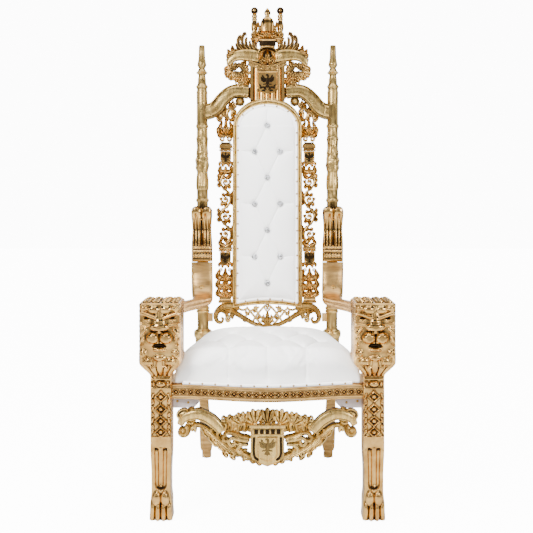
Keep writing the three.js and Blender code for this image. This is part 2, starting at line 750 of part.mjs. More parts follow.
function sideCarving() {
  const [inside, outside] = [stripX + stripHalfWidth, stripX - stripHalfWidth];
  const bottom = lowRailTop + clearance * 2;
  const [rear, deep] = [stripHalfDepth, 2 * stripHalfDepth];
  const at = (u, z) => [stripX + (u / 100) * stripHalfWidth, z, rear];
  const bay = (vineTop - vineBottom) / vineBays;
  const spots = counted(2 * vineBays + 1).map((i) =>
    at(60 * Math.sin((Math.PI * i) / 2), vineBottom + (bay * i) / 2),
  );
  const bays = counted(vineBays).map((i) => {
    const side = i % 2 ? 1 : -1;
    const z = (share) => vineBottom + bay * (i + share);
    const turns = [[0, 0], [78, 0.3], [76, 0.68], [12, 0.76], [6, 0.48], [44, 0.44]];
    const curl = through(...turns.map(([u, share]) => at(side * u, z(share))));
    const bud = leaf(at(-side * 50, z(0.66)), at(-side * 96, z(1)), 7, deep * 0.8);
    return [stroke(curl, 4.2, deep * 0.8), bud];
  });
  const shield = (z) => {
    const half = shieldHeight / 2;
    const sides = [-1, 1].map((side) => [at(84 * side, z + half), at(84 * side, z - half * 0.3)]);
    const outline = [...sides[0], at(0, z - half), ...sides[1].reverse()];
    const pairs = [-1, 1].map((side) =>
      leaf(at(24 * side, z - half * 0.6), at(96 * side, z - half * 1.5), 8, deep * 0.9),
    );
    const band = box(outside, inside, rear - deep - 5, rear, z + half - 2, z + half * 1.55);
    return [board(outline, rear - deep - 3, rear), band, pairs];
  };
  const [lowShield, highShield] = [vineBottom - shieldHeight, vineTop + shieldHeight];
  const tiers = [-1, 1].map((side) => {
    const [first, last] = [bottom + stripPlinth * 0.7, lowShield - shieldHeight];
    const [firstTip, lastTip] = [at(96 * side, first + 44), at(96 * side, last + 30)];
    return spray(2, at(0, first), firstTip, at(0, last - 14), lastTip, 15, deep, { bend: 0.2 * side });
  });
  const knotZ = highShield + shieldHeight * 1.05;
  const fanZ = knotZ + 92;
  const fan = spray(3, at(0, knotZ + 16), at(-130, fanZ), at(0, knotZ + 16), at(130, fanZ), 11, deep);
  const spandrel = [
    stroke(through(at(0, fanZ - 40), at(32, fanZ + 8), at(136, fanZ + 42), at(208, fanZ + 62)), 6, deep, {
      steps: 4,
    }),
    stroke(through(at(-88, fanZ - 12), at(-48, fanZ + 18), at(24, fanZ + 46)), 7, deep, { steps: 2 }),
    stroke(new Volute(at(120, fanZ + 30), 15, 6, 150, -260), 4, deep * 0.9),
  ];
  const stem = (from, to) => stroke(through(at(0, from), at(0, to)), 7, deep, { steps: 1 });
  return cut(
    join(
      stroke(through(...spots), 4.8, deep, { steps: 3 * vineBays }),
      bays,
      shield(lowShield),
      shield(highShield),
      tiers,
      box(outside, inside, rear - deep - 2, rear, bottom, bottom + stripPlinth),
      stroke(new Volute(at(0, knotZ), 19, 19, 0, 360), 5, deep),
      stem(bottom, lowShield),
      stem(lowShield, vineBottom + 4),
      stem(vineTop - 4, highShield),
      stem(highShield, knotZ + 30),
      fan,
      spandrel,
    ),
    frameTool(),
    crestArmBoard(clearance),
    crestKnob(clearance),
  );
}

// Bottom rail of the back

function lowRail() {
  const { unit, at: flat } = drawing(lowRailBottom, lowRailTop);
  const rear = lowRailHalfDepth;
  const at = (u, v) => flat(u, v, rear);
  const end = (postX - postRadius - spacerLength - 2 * clearance) / unit;
  const [u, v] = [end - voluteRadius / unit - 6, 50];
  const deep = 2 * lowRailHalfDepth;
  const half = join(
    stroke(new Volute(at(u, v), voluteRadius, voluteRadius * 0.3, 100, -330), tapering(9, 6), deep, {
      steps: 8,
    }),
    stroke(
      through(at(u, v + 32), at(u - 50, 72), at(u - 104, 33), at(36, 12), at(0, 8)),
      tapering(10, 8),
      deep * 0.9,
      { section: housed },
    ),
    ball(at(u - 30, 26), 12, deep * 0.8, 12, 5),
    leaf(at(u - 34, 68), at(u - 32, 20), 9, deep * 0.7),
    stroke(through(at(120, 66), at(78, 56), at(30, 14)), 6, deep * 0.7, { steps: 2 }),
    spray(2, at(22, 12), at(34, 54), at(66, 26), at(56, 66), 8, deep * 0.7),
    box((end - 22) * unit, end * unit, -spacerHalfDepth, rear, spacerBottom, spacerTop),
  );
  const palmette = leaf(at(0, 2), at(0, 76), 12, deep * 0.7);
  const behind = box(-postX, postX, rear, 2 * deep, 0, archTop);
  return cut(join(half, mirrored(half), palmette), frameTool(), behind);
}

// Crest arms: curved boards from the posts up to the crest's block

const crestArmInner = blockHalfWidth + blockBand + clearance;
const crestArmOuter = postX + postTop * 0.75 * Math.tan(postSplay);

function crestArmBoard(gap = 0) {
  const middle = archTop + 22;
  const line = [
    [-crestArmOuter, -80],
    [-205, -60],
    [-180, -28],
    [-150, -2],
    [-120, 6],
    [-crestArmInner, 2],
  ].map(([x, z]) => new THREE.Vector2(x, middle + z));
  const points = new THREE.SplineCurve(line).getPoints(crestArmSteps);
  const half = crestArmRise / 2;
  const thickness = (i) => half * mix(1, 0.8, i / crestArmSteps);
  const upper = points.map(({ x, y }, i) => [x, y + thickness(i) - 8]);
  const lower = points.map(({ x, y }, i) => [x, y - thickness(i) - gap]);
  return board([...lower, ...upper.reverse()], crestArmFrontY - 3 * gap, crestArmBackY + 3 * gap);
}

function crestKnob(gap = 0) {
  const radius = crestKnobRadius + gap;
  const middle = [-crestKnobX, archTop - crestKnobDrop, (crestArmFrontY + crestArmBackY) / 2];
  return ball(middle, radius, radius, radius, 6, 4);
}

function crestArm() {
  return cut(
    join(crestArmBoard(), crestKnob()),
    frameTool(),
    postCore(),
    box(-crestArmInner, 0, -beyond, beyond, archSpring, crestTop),
  );
}

// Crest: a fluted block with a shield, under a pediment, mantling, plumes and a crown

function crest() {
  const { unit, at: flat } = drawing(archTop, crestTop);
  const at = (u, v) => flat(u, v, crestBackY);
  const height = (v) => at(0, v)[1];
  const deep = crestBackY - crestFrontY;
  const span = (half, depth, low, high) =>
    box(-half, half, crestBackY - depth, crestBackY, height(low), height(high));
  const strokes = [
    // mantling, with leaves above it and a spray below
    stroke(
      through(at(8, 45), at(21, 47.5), at(34, 48), at(41, 41.5), at(42.5, 34)),
      tapering(6.2 * unit, 2.8 * unit),
      deep,
      { section: housed, steps: 4 },
    ),
    spray(3, at(30, 49), at(37, 58), at(41, 42), at(46, 47), 3 * unit, deep * 0.7),
    spray(3, at(21, 42), at(26, 23), at(39, 38), at(43, 28), 5 * unit, deep * 0.8),
    stroke(new Volute(at(28, 15.5), 5.2 * unit, 2.2 * unit, 140, -280), 1.9 * unit, deep * 0.7),
    stroke(through(at(22, 6), at(23, 38)), 2.8 * unit, deep * 0.8, { steps: 1 }),
    // plumes
    spread(3, 0, 1).map((t) =>
      stroke(
        through(
          at(mix(5, 8, t), 50),
          at(mix(13, 20, t), mix(54, 52, t)),
          at(mix(18, 28, t), mix(62, 60, t)),
          at(mix(18, 32, t), mix(74, 71, t)),
        ),
        leafWidth(3 * unit),
        deep * 0.6,
        { steps: 3, pointed: true },
      ),
    ),
    // small leaves of the crown
    leaf(at(7, 61), at(16, 70), 2.5 * unit, deep * 0.6),
    leaf(at(4, 66), at(9, 77), 2 * unit, deep * 0.6),
    // flutes of the block and half of the pediment
    spread(2, 0.68, 0.93).map((share) => {
      const [x, y] = [blockHalfWidth * share, crestFrontY + 9];
      return stroke(through([x, height(0), y], [x, height(34), y]), 1.8 * unit, 8, { steps: 1 });
    }),
    stroke(through(at(19, 38.5), at(-0.5, 30)), 2.2 * unit, deep + 3, { steps: 1, section: housed }),
  ];
  const shieldOutline = [at(0, 4), at(11.2, 10), at(11.2, 27), at(-11.2, 27), at(-11.2, 10)];
  const rings = [
    [4, 60],
    [7.4, 78.5],
    [6.8, 82],
    [3.6, 88],
    [2, 90],
    [3.6, 92.5],
    [0.3, 100],
  ];
  const spearProfile = rings.map(([radius, v]) => [radius * unit, height(v)]);
  const spear = turned(spearProfile, 6).translate(0, crestFrontY / 2, 0);
  const blockEdge = blockHalfWidth + blockBand;
  const crownLeaves = spread(3, -1, 1).map((lean) =>
    leaf(at(lean * 7, 60), at(lean * 11, 70 - 3.4 * lean ** 2), 3.6 * unit, deep),
  );
  const half = join(strokes);
  const arm = join(crestArmBoard(clearance), crestKnob(clearance));
  return cut(
    join(
      half,
      mirrored(half),
      box(-blockEdge, blockEdge, crestFrontY + 8, crestBackY, archSpring, height(38)),
      board(shieldOutline, crestFrontY - 2, crestBackY),
      span(13 * unit, deep * 0.6, 36, 60),
      ball(at(0, 45.5), 11 * unit, deep + 4, 11 * unit, 6, 4),
      span(9.3 * unit, deep + 4, 57, 62.5),
      crownLeaves,
      spear,
    ),
    frameTool(),
    arm,
    mirrored(arm),
    box(-crestTop, crestTop, crestBackY, crestTop, 0, 2 * crestTop),
  );
}

// A slim turned finial behind each plume, on a plinth fixed to the back of the block
function crestFinial() {
  const plinth = finialRadius + 2;
  const plinthTop = archTop + finialPlinth;
  const upper = (share) => mix(plinthTop, finialTop, share);
  const profile = [
    [plinth, archSpring],
    [plinth, plinthTop],
    [9, upper(0.04)],
    [9, upper(0.53)],
    [finialRadius, upper(0.56)],
    [10, upper(0.61)],
    [finialRadius, upper(0.64)],
    [finialRadius, upper(0.74)],
    [9, upper(0.78)],
    [finialRadius, upper(0.81)],
    [10, upper(0.875)],
    [plinth, upper(0.945)],
    [8, finialTop],
  ];
  const backwards = crestBackY + clearance + plinth;
  return cut(turned(profile, 6).translate(-finialX, backwards, 0), frameTool());
}

// Seat cushion: it fills the frame between the heads and widens behind them, with a crowned top

function cushion() {
  const low = railTop + clearance;
  const rearY = postY - postRingRadius - cushionGap;
  const notchY = headBackY + cushionGap;
  const between = frontLegX - headHalfWidth - cushionGap;
  const side = (y) => sideRailX(y) + railThickness / 2 - cushionInset;
  const rows = [
    // y, share of the front rail's bow, half width, share of the height
    [frontRailEndY, 1, between, 0.72],
    [frontRailEndY + cushionEdge, 0.8, between, 0.93],
    [mix(frontRailEndY, notchY, 0.6), 0.3, between, 1],
    [notchY, 0, between, 1],
    [notchY + 2, 0, side(notchY), 1],
    [mix(notchY, rearY, 0.35), 0, side(mix(notchY, rearY, 0.35)), 1],
    [mix(notchY, rearY, 0.7), 0, side(mix(notchY, rearY, 0.7)), 1],
    [rearY - cushionEdge, 0, side(rearY - cushionEdge), 0.95],
    [rearY, 0, side(rearY) - 6, 0.75],
  ];
  const columns = 6;
  const rowCount = rows.length - 1;
  return shaped(new THREE.BoxGeometry(2, 2, 1, columns, rowCount, 1), (v) => {
    const [y, bow, halfWidth, rise] = rows[Math.round(((v.y + 1) / 2) * rowCount)];
    const edge = Math.abs(v.x) > 0.99 ? 0.74 : Math.abs(v.x) > 0.7 ? 0.96 : 1;
    const x = v.x * halfWidth;
    v.set(x, y - bow * bowAt(x), v.z < 0 ? low : low + cushionHeight * rise * edge);
  });
}

// The throne

const throne = new THREE.Group();
const back = new THREE.Group();
back.position.set(0, postY, railTop);
back.rotation.x = -backLean;
throne.add(back);

function add(group, name, geometry, material, x = 0, y = 0, z = 0) {
  const mesh = new THREE.Mesh(geometry, material);
  mesh.name = name;
  mesh.position.set(x, y, z);
  group.add(mesh);
  return mesh;
}

// The left one as drawn and its mirror image.
function addPair(group, name, geometry, material, x = 0, y = 0) {
  add(group, `${name}_left`, geometry, material, -x, y);
  add(group, `${name}_right`, geometry, material, x, y).scale.x = -1;
}

addPair(throne, "front_glide", glide(glideRadius), darkPlastic, frontLegX, frontLegY);
addPair(throne, "rear_glide", glide(rearGlideRadius), darkPlastic, rearFootX, rearFootY);
addPair(throne, "front_leg", frontLeg(), gold, frontLegX);
addPair(throne, "rear_leg", rearLeg(), satinGold);
add(throne, "seat_rail_front", frontRail(), satinGold);
add(throne, "seat_rail_back", backRail(), satinGold);
addPair(throne, "seat_rail", sideRail(), satinGold);
addPair(throne, "corner_block", cornerBlock(), rawBoard);
add(throne, "front_stretcher", stretcher(), gold);
addPair(throne, "arm", arm(), satinGold);
addPair(throne, "bolt_cap", boltCap(), gold);
add(throne, "seat_cushion", cushion(), whiteLeather);

addPair(back, "back_post", post(), gold);
addPair(back, "post_spacer", spacer(), gold);
add(back, "back_frame", backFrame(), gold);
add(back, "back_pad", backPad(), whiteLeather);
addPair(back, "side_carving", sideCarving(), gold);
add(back, "lower_rail", lowRail(), gold);
addPair(back, "crest_arm", crestArm(), gold);
add(back, "crest", crest(), gold);
addPair(back, "crest_finial", crestFinial(), gold);
buttonPlaces.forEach(([x, z], i) => add(back, `crystal_button_${i + 1}`, button(), crystal, x, 0, z));

// The origin is on the floor, under the middle of the throne's length.
throne.updateMatrixWorld(true);
const extent = new THREE.Box3().setFromObject(throne, true);
throne.position.y = -(extent.min.y + extent.max.y) / 2;

export default throne;
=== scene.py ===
"""The looks of a carved and gilded high-backed throne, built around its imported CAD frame."""

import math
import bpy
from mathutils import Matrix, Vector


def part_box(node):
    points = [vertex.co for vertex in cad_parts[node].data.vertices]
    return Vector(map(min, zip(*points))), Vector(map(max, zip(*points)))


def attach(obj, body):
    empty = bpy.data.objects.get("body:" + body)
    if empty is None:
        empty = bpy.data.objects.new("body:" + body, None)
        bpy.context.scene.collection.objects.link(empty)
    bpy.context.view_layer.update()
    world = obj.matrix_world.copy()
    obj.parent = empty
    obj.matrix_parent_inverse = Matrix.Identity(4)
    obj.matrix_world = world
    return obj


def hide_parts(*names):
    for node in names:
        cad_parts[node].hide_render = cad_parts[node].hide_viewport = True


bl_info = {
    "name": "Carved throne", "version": (1, 0, 0), "blender": (4, 5, 0), "location": "3D View > Sidebar > Throne",
    "description": "Carving, gilding and upholstery for a high-backed throne", "category": "Add Mesh",
}

import bpy
import numpy as np
from bpy.props import FloatProperty, FloatVectorProperty, PointerProperty
from mathutils import Vector

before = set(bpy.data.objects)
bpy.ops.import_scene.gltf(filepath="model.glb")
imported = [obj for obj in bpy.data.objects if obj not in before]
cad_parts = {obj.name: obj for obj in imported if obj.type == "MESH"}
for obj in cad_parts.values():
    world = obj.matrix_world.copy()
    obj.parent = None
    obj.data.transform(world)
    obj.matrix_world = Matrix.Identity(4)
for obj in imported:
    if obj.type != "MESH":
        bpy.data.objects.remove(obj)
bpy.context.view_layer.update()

# Carving is drawn in millimetres, in the throne's own frame: x to the right in a view from the front,
# y backwards, z up. A board is drawn flat, with its back at y = 0 and its front towards -y.
MM = 0.001
BODY = "root"
GOLD_SLOT = "polished_gold"
SATIN_SLOT = "satin_gold"
VINYL_SLOT = "white_vinyl"


def middle_of(node):
    """The middle of a CAD node's box, in millimetres."""
    low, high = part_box(node)
    return np.array((low + high) / 2) / MM


def corners_of(node):
    """The lowest and highest corners of a CAD node, in millimetres."""
    low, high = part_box(node)
    return np.array(low) / MM, np.array(high) / MM


# Places read from the frame
REAR_FOOT_DEPTH = 313.0  # of the rear foot's middle behind the drawing's origin
SHIFT = middle_of("rear_glide_left")[1] - REAR_FOOT_DEPTH
LEG_X = middle_of("front_glide_right")[0]
RAIL_TOP = corners_of("seat_rail_front")[1][2]
RAIL_BOTTOM = corners_of("seat_rail_front")[0][2]

# The back leans, and its boards are drawn in its own frame: z along the back from the seat rail
BACK_LEAN = math.radians(4)
POST_SPLAY = math.radians(0.58)
POST_X = 252.8
POST_Y = 200.0 + SHIFT


# Forms and steps of numbers


def smooth(low, high, x):
    """0 below low, 1 above high, and a smooth step between."""
    t = np.clip((x - low) / (high - low), 0, 1)
    return t * t * (3 - 2 * t)


def mix(a, b, t):
    """a at t 0 and b at t 1."""
    return a + (b - a) * t


def bell(distance, width):
    """1 in the middle, falling off as the exponent of minus the squared distance over the width."""
    return np.exp(-((distance / width) ** 2))


def hump(distance, power=0.5):
    """1 in the middle and 0 from a distance of 1: one less the squared distance, to a power."""
    return np.clip(1 - distance**2, 0, 1) ** power


def squared_off(wave, power):
    """A sine or cosine to a power with its sign kept, so that a circle of them turns into a rounded square."""
    return np.sign(wave) * np.abs(wave) ** power


def all_round(count):
    """Angles evenly round a circle."""
    return np.linspace(0, 2 * np.pi, count, endpoint=False)


def mound(x, z, at, size, height, power=0.5):
    """Part of an ellipsoid: height times (1 - squared distance from its middle) to a power, 0 outside."""
    inside = 1 - ((x - at[0]) / size[0]) ** 2 - ((z - at[1]) / size[1]) ** 2
    return height * np.clip(inside, 0, 1) ** power


def twin_mounds(x, z, at, size, height, power=0.5):
    """The same mound on both sides of x = 0."""
    return mound(np.abs(x), z, at, size, height, power)


def from_line(x, z, start, end):
    """The distance of each point from a straight line between two points."""
    a, b = np.array(start, float), np.array(end, float)
    along = b - a
    t = np.clip(((x - a[0]) * along[0] + (z - a[1]) * along[1]) / (along @ along), 0, 1)
    return np.hypot(x - a[0] - t * along[0], z - a[1] - t * along[1])


def ridge(x, z, start, end, width, height):
    """A rounded ridge on the straight line between two points: it falls off as the distance squared."""
    return height * hump(from_line(x, z, start, end) / width, 0.7)


def twin_ridges(x, z, start, end, width, height):
    """The same ridge on both sides of x = 0."""
    return ridge(np.abs(x), z, start, end, width, height)


def blurred(values, reach):
    """Each value's mean over a square window of neighbours, by differences of running sums."""
    for axis in (0, 1):
        pad = [(0, 0)] * values.ndim
        pad[axis] = (reach + 1, reach)
        total = np.cumsum(np.pad(values, pad, mode="edge"), axis=axis)
        size = values.shape[axis]
        high = np.take(total, np.arange(2 * reach + 1, 2 * reach + 1 + size), axis=axis)
        low = np.take(total, np.arange(size), axis=axis)
        values = (high - low) / (2 * reach + 1)
    return values


def raised(height, reach=4, span=1.6, middle=0.62):
    """How far each point stands above its surroundings: 0 in a hollow, 1 on a crest."""
    return np.clip(middle + (height - blurred(height, reach)) / span, 0, 1)


# Shells. A shell is its points, its quads, its triangles and each point's relief, from 0 in the hollows to 1; the
# materials paint low relief dark, as patina and painted shade.


def outward(points, quads, tris, relief):
    """The shell with its faces turned to point out: the sum of its signed tetrahedra is positive."""
    a, b, c, d = (points[quads[:, k]] for k in range(4))
    volume = np.einsum("ij,ij->", a, np.cross(b, c)) + np.einsum("ij,ij->", a, np.cross(c, d))
    if len(tris):
        a, b, c = (points[tris[:, k]] for k in range(3))
        volume += np.einsum("ij,ij->", a, np.cross(b, c))
    if volume < 0:
        quads, tris = quads[:, ::-1], tris[:, ::-1]
    return points, quads, tris, relief


def shell(rings, relief, looped=False):
    """Rings of points, (rows, columns, 3), joined by quads. Its two ends are closed by fans, or its last
    ring is joined to its first."""
    rows, columns = rings.shape[:2]
    index = np.arange(rows * columns).reshape(rows, columns)
    low, high = (index, np.roll(index, -1, axis=0)) if looped else (index[:-1], index[1:])
    quads = np.stack([low, np.roll(low, -1, axis=1), np.roll(high, -1, axis=1), high], axis=-1)
    quads = quads.reshape(-1, 4)
    points = rings.reshape(-1, 3)
    values = np.broadcast_to(relief, (rows, columns)).reshape(-1)
    tris = np.empty((0, 3), int)
    if not looped:
        first, last = rows * columns, rows * columns + 1
        start, end = index[0], index[-1]
        fan = np.stack([np.full(columns, first), np.roll(start, -1), start], axis=-1)
        far_fan = np.stack([np.full(columns, last), end, np.roll(end, -1)], axis=-1)
        tris = np.concatenate([fan, far_fan])
        points = np.concatenate([points, rings[[0, -1]].mean(axis=1)])
        values = np.concatenate([values, [values[:columns].mean(), values[-columns:].mean()]])
    return outward(points, quads, tris, values)


def flat_list(shells):
    """Shells out of nested lists of them."""
    if isinstance(shells, tuple):
        return [shells]
    return [s for group in shells for s in flat_list(group)]


def moved(shells, x=0.0, y=0.0, z=0.0):
    """The shells carried along by x, y and z."""
    return [(p + np.array([x, y, z]), q, t, r) for p, q, t, r in flat_list(shells)]


def mirrored(shells):
    """The shells' image across x = 0."""
    flip = np.array([-1.0, 1.0, 1.0])
    return [(p * flip, q[:, ::-1], t[:, ::-1], r) for p, q, t, r in flat_list(shells)]


def both_sides(shells):
    """The shells and their image across x = 0."""
    return flat_list(shells) + mirrored(shells)


def tinted(shells, factor):
    """The shells with their relief scaled, so that they read darker."""
    return [(p, q, t, np.clip(r * factor, 0, 1)) for p, q, t, r in flat_list(shells)]


def leaning(shells):
    """Shells drawn in the back's frame, turned back by its lean and stood on the seat rail."""
    cos, sin = math.cos(BACK_LEAN), math.sin(BACK_LEAN)
    turn = np.array([[1, 0, 0], [0, cos, -sin], [0, sin, cos]])
    base = np.array([0, POST_Y, RAIL_TOP])
    return [(p @ turn + base, q, t, r) for p, q, t, r in flat_list(shells)]


def splayed(shells, x=POST_X):
    """Shells drawn about a post's own line, leaning outwards with it on the right side."""
    cos, sin = math.cos(POST_SPLAY), math.sin(POST_SPLAY)
    turn = np.array([[cos, 0, -sin], [0, 1, 0], [sin, 0, cos]])
    return [(p @ turn + np.array([x, 0, 0]), q, t, r) for p, q, t, r in flat_list(shells)]


# Curves and what is carried along them


def spline(points, steps):
    """A smooth path through the points by Catmull-Rom cubics, at equal steps of its own length."""
    p = np.asarray(points, float)
    ends = np.vstack([2 * p[0] - p[1], p, 2 * p[-1] - p[-2]])
    place = np.linspace(0, len(p) - 1, 12 * len(p) + 40)
    k = np.minimum(place.astype(int), len(p) - 2)
    f = (place - k)[:, None]
    a, b, c, d = ends[k], ends[k + 1], ends[k + 2], ends[k + 3]
    curve = 0.5 * (2 * b + (c - a) * f + (2 * a - 5 * b + 4 * c - d) * f**2 + (3 * b - 3 * c + d - a) * f**3)
    length = np.concatenate([[0], np.cumsum(np.linalg.norm(np.diff(curve, axis=0), axis=1))])
    share = np.linspace(0, length[-1], steps)
    return np.stack([np.interp(share, length, curve[:, axis]) for axis in range(3)], axis=-1)


def across(path):
    """The sideways direction at each point of a path on a board: square to it, in the board's plane."""
    tangent = np.gradient(path, axis=0)
    sideways = np.stack([tangent[:, 2], 0 * tangent[:, 1], -tangent[:, 0]], axis=-1)
    return sideways / (np.linalg.norm(sideways, axis=1, keepdims=True) + 1e-9)


def on_board(points):
    """Points drawn as (x, z) or (x, z, lift) on a board, as (x, y, z) with the lift towards the front."""
    return [(p[0], -(p[2] if len(p) > 2 else 0.0), p[1]) for p in points]


# Sections of a carved stroke: (across, out, relief), round from one edge of its flat back to the other. Their
# relief is low in the grooves and at the edges by the board, where the gilding paints shade.
ROUND = np.array(
    [(-1, 0, 0), (-1, 0.3, 0.2), (-0.86, 0.66, 0.6), (-0.5, 0.93, 0.9), (0, 1, 1)]
    + [(0.5, 0.93, 0.9), (0.86, 0.66, 0.6), (1, 0.3, 0.2), (1, 0, 0)]
)
HOLLOW = np.array(
    [(-1, 0, 0), (-1, 0.6, 0.4), (-0.84, 1, 1), (-0.62, 0.9, 0.9), (-0.35, 0.55, 0.25), (0, 0.45, 0.1)]
    + [(0.35, 0.55, 0.25), (0.62, 0.9, 0.9), (0.84, 1, 1), (1, 0.6, 0.4), (1, 0, 0)]
)
VEINED = np.array(
    [(-1, 0, 0), (-1, 0.3, 0.3), (-0.84, 0.7, 1), (-0.5, 0.45, 0.12), (-0.2, 0.85, 0.95), (0, 1, 1)]
    + [(0.2, 0.85, 0.95), (0.5, 0.45, 0.12), (0.84, 0.7, 1), (1, 0.3, 0.3), (1, 0, 0)]
)
REEDED = np.array(
    [(-1, 0, 0), (-1, 0.5, 0.4), (-0.85, 0.8, 1), (-0.62, 0.6, 0.1), (-0.4, 0.95, 1), (-0.2, 0.8, 0.3)]
    + [(0, 1, 1), (0.2, 0.8, 0.3), (0.4, 0.95, 1), (0.62, 0.6, 0.1), (0.85, 0.8, 1), (1, 0.5, 0.4)]
    + [(1, 0, 0)]
)
BANDED = np.array(
    [(-1, 0, 0), (-1, 0.62, 0.3), (-0.95, 0.86, 1), (-0.84, 0.88, 0.9), (-0.76, 0.74, 0.15)]
    + [(-0.66, 0.84, 0.7), (-0.35, 0.97, 0.8), (0, 1, 0.8), (0.35, 0.97, 0.8), (0.66, 0.84, 0.7)]
    + [(0.76, 0.74, 0.15), (0.84, 0.88, 0.9), (0.95, 0.86, 1), (1, 0.62, 0.3), (1, 0, 0)]
)


def rounded_ends(t, start, end):
    """1 along the middle, falling to 0 as a quarter circle over the first and last shares of the length."""
    fall = np.ones_like(t)
    for share, distance in ((start, t), (end, 1 - t)):
        if share:
            near = np.clip(distance / share, 0, 1)
            fall = np.minimum(fall, np.sqrt(np.clip(1 - (1 - near) ** 2, 0.0009, 1)))
    return fall


def stood_out(depth, half, out):
    """How far each point of a section stands out. Its relief is no deeper than its half width, so a narrow
    leaf on a thick board has high plain sides; the points on the back stay there."""
    return np.where(out > 0, depth - np.minimum(depth, 0.85 * half) * (1 - out), 0)


def stroke(points, width, depth, section=ROUND, steps=16, ends=(0.12, 0.12)):
    """A section carried along a smooth path on a board. Each ring is the path's point, plus the sideways
    direction times the half width times across, plus forwards times the depth times out."""
    path = spline(on_board(points), steps)
    t = np.linspace(0, 1, steps)
    sideways = across(path)
    values = [np.atleast_1d(np.asarray(v, float)) for v in (width, depth)]
    half, out = (
        np.interp(t, np.linspace(0, 1, len(v)), v) if len(v) > 1 else v[0] * np.ones(steps) for v in values
    )
    fall = rounded_ends(t, *ends)
    spread = (half * fall)[:, None] * section[:, 0]
    forward = stood_out((out * mix(0.35, 1, fall))[:, None], (half * fall)[:, None], section[:, 1])
    rings = path[:, None, :] + spread[..., None] * sideways[:, None, :]
    rings[..., 1] -= forward
    return shell(rings, section[:, 2])


def leaf(root, tip, width, depth, bend=0.2, lobes=0, curl=0.0, steps=15):
    """A carved leaf: a bowed rib from root to tip, as wide as a sine that is widest before the middle,
    with a crest on the rib, hollows beside it and, with lobes, a scalloped edge and slanting veins."""
    a, b = np.array(root[:2], float), np.array(tip[:2], float)
    lift = [root[2] if len(root) > 2 else 0.0, tip[2] if len(tip) > 2 else 0.0]
    side = np.array([-(b - a)[1], (b - a)[0]])
    middle = (a + b) / 2 + side * bend
    hook = b - side * bend * 0.25
    points = [(*a, lift[0]), (*middle, mix(*lift, 0.5)), (*mix(middle, hook, 0.62), mix(*lift, 0.8)), (*b, lift[1])]
    path = spline(on_board(points), steps)
    t = np.linspace(0, 1, steps)[:, None]
    sideways = across(path)
    place, out, tone = VEINED.T
    half = width * (0.4 * (1 - t) ** 2 + np.sin(np.pi * t**0.8) ** 0.65)
    if lobes:
        half = half * (0.78 + 0.22 * np.abs(np.sin(np.pi * lobes * t)))
        wave = np.cos(2 * np.pi * (lobes * t - 0.5 * np.abs(place)))
        out = out * (1 + 0.28 * wave * np.abs(place))
        # Painted shade: the tone falls where the lobes' waves dip.
        tone = np.clip(tone + 0.3 * wave * (np.abs(place) > 0.3), 0, 1) * (out > 0)
    rise = depth * (1 - 0.45 * t) * rounded_ends(t, 0.1, 0.16) + curl * smooth(0.55, 1, t)
    rings = path[:, None, :] + (half * place)[..., None] * sideways[:, None, :]
    rings[..., 1] -= stood_out(rise, half, out)
    return shell(rings, tone * np.ones_like(t))


def leaves(rows, depth, curl=4.0):
    """Leaves from rows of (root x, root z, tip x, tip z, half width, bend, lobes)."""
    return [leaf(r[:2], r[2:4], r[4], depth, bend=r[5], lobes=r[6], curl=curl) for r in rows]


PALMETTE_SPREAD = 62.0  # degrees on each side of its middle


def palmette(x, z, radius, tilt, depth, ribs=5):
    """A fan of rounded ribs that spread from a root, its tilt in degrees from upright. The height is a low
    arch from root to rim, times the ribs; the rim is scalloped, and the back is flat."""
    t = np.linspace(0.1, 1, 13)[:, None]
    share = np.linspace(-1, 1, 7 * ribs + 1)
    rib = np.abs(np.sin(np.pi * ribs * (share + 1) / 2)) ** 0.7
    angle = np.radians(tilt + PALMETTE_SPREAD * share)
    reach = radius * t * (1 - 0.12 * share**2) * (1 + 0.2 * (rib - 0.6) * t**2)
    rise = depth * (0.55 + 0.45 * np.sin(np.pi * (0.08 + 0.84 * t))) * (1 - 0.34 * (1 - rib) * t**0.3)
    front = np.stack([x + reach * np.sin(angle), -rise, z + reach * np.cos(angle)], axis=-1)
    back = front[:, ::-1].copy()
    back[..., 1] = 0
    # Painted shade: darker between the ribs and near the root.
    tone = np.clip(0.05 + 1.1 * rib * (1 - 0.5 * smooth(0.3, 0.1, t)) * np.ones_like(t), 0, 1)
    return shell(np.concatenate([front, back], axis=1), np.concatenate([tone, 0 * tone], axis=1))


def palmettes(rows, depth):
    """Palmettes from rows of (x, z, radius, tilt)."""
    return [palmette(*row, depth) for row in rows]


def curls(rows, depth):
    """Spiral strokes from rows of (x, z, outer radius, start, turn, half width)."""
    made = []
    for x, z, outer, start, turn, half in rows:
        path = spiral((x, z), outer, outer * 0.26, start, turn)
        made.append(stroke(path, [half, half * 0.7], [depth, depth * 1.18], steps=26))
    return made


def spiral(centre, outer, inner, start, turn, count=14):
    """Points on a spiral whose radius shrinks by equal ratios as it turns, angles in degrees."""
    t = np.linspace(0, 1, count)
    angle = np.radians(start + turn * t)
    radius = outer * (inner / outer) ** t
    return [(centre[0] + r * math.cos(a), centre[1] + r * math.sin(a)) for r, a in zip(radius, angle)]


def ball(centre, size, sides=12, levels=8, relief=0.95):
    """An ellipsoid about (x, z, lift), of half widths (x, y, z), or one radius."""
    half = np.ones(3) * size
    rise = np.linspace(0.04, np.pi - 0.04, levels)[:, None]
    angle = all_round(sides)
    unit = np.stack(
        [np.sin(rise) * np.cos(angle), np.sin(rise) * np.sin(angle), -np.cos(rise) * np.ones(sides)], axis=-1
    )
    place = np.array(on_board([centre])[0])
    # Painted shade: the relief is full at the front and falls towards the ball's sides and back.
    front = 0.5 - 0.5 * unit[..., 1]
    return shell(unit * half + place, relief * np.clip(front * 1.3, 0, 1))


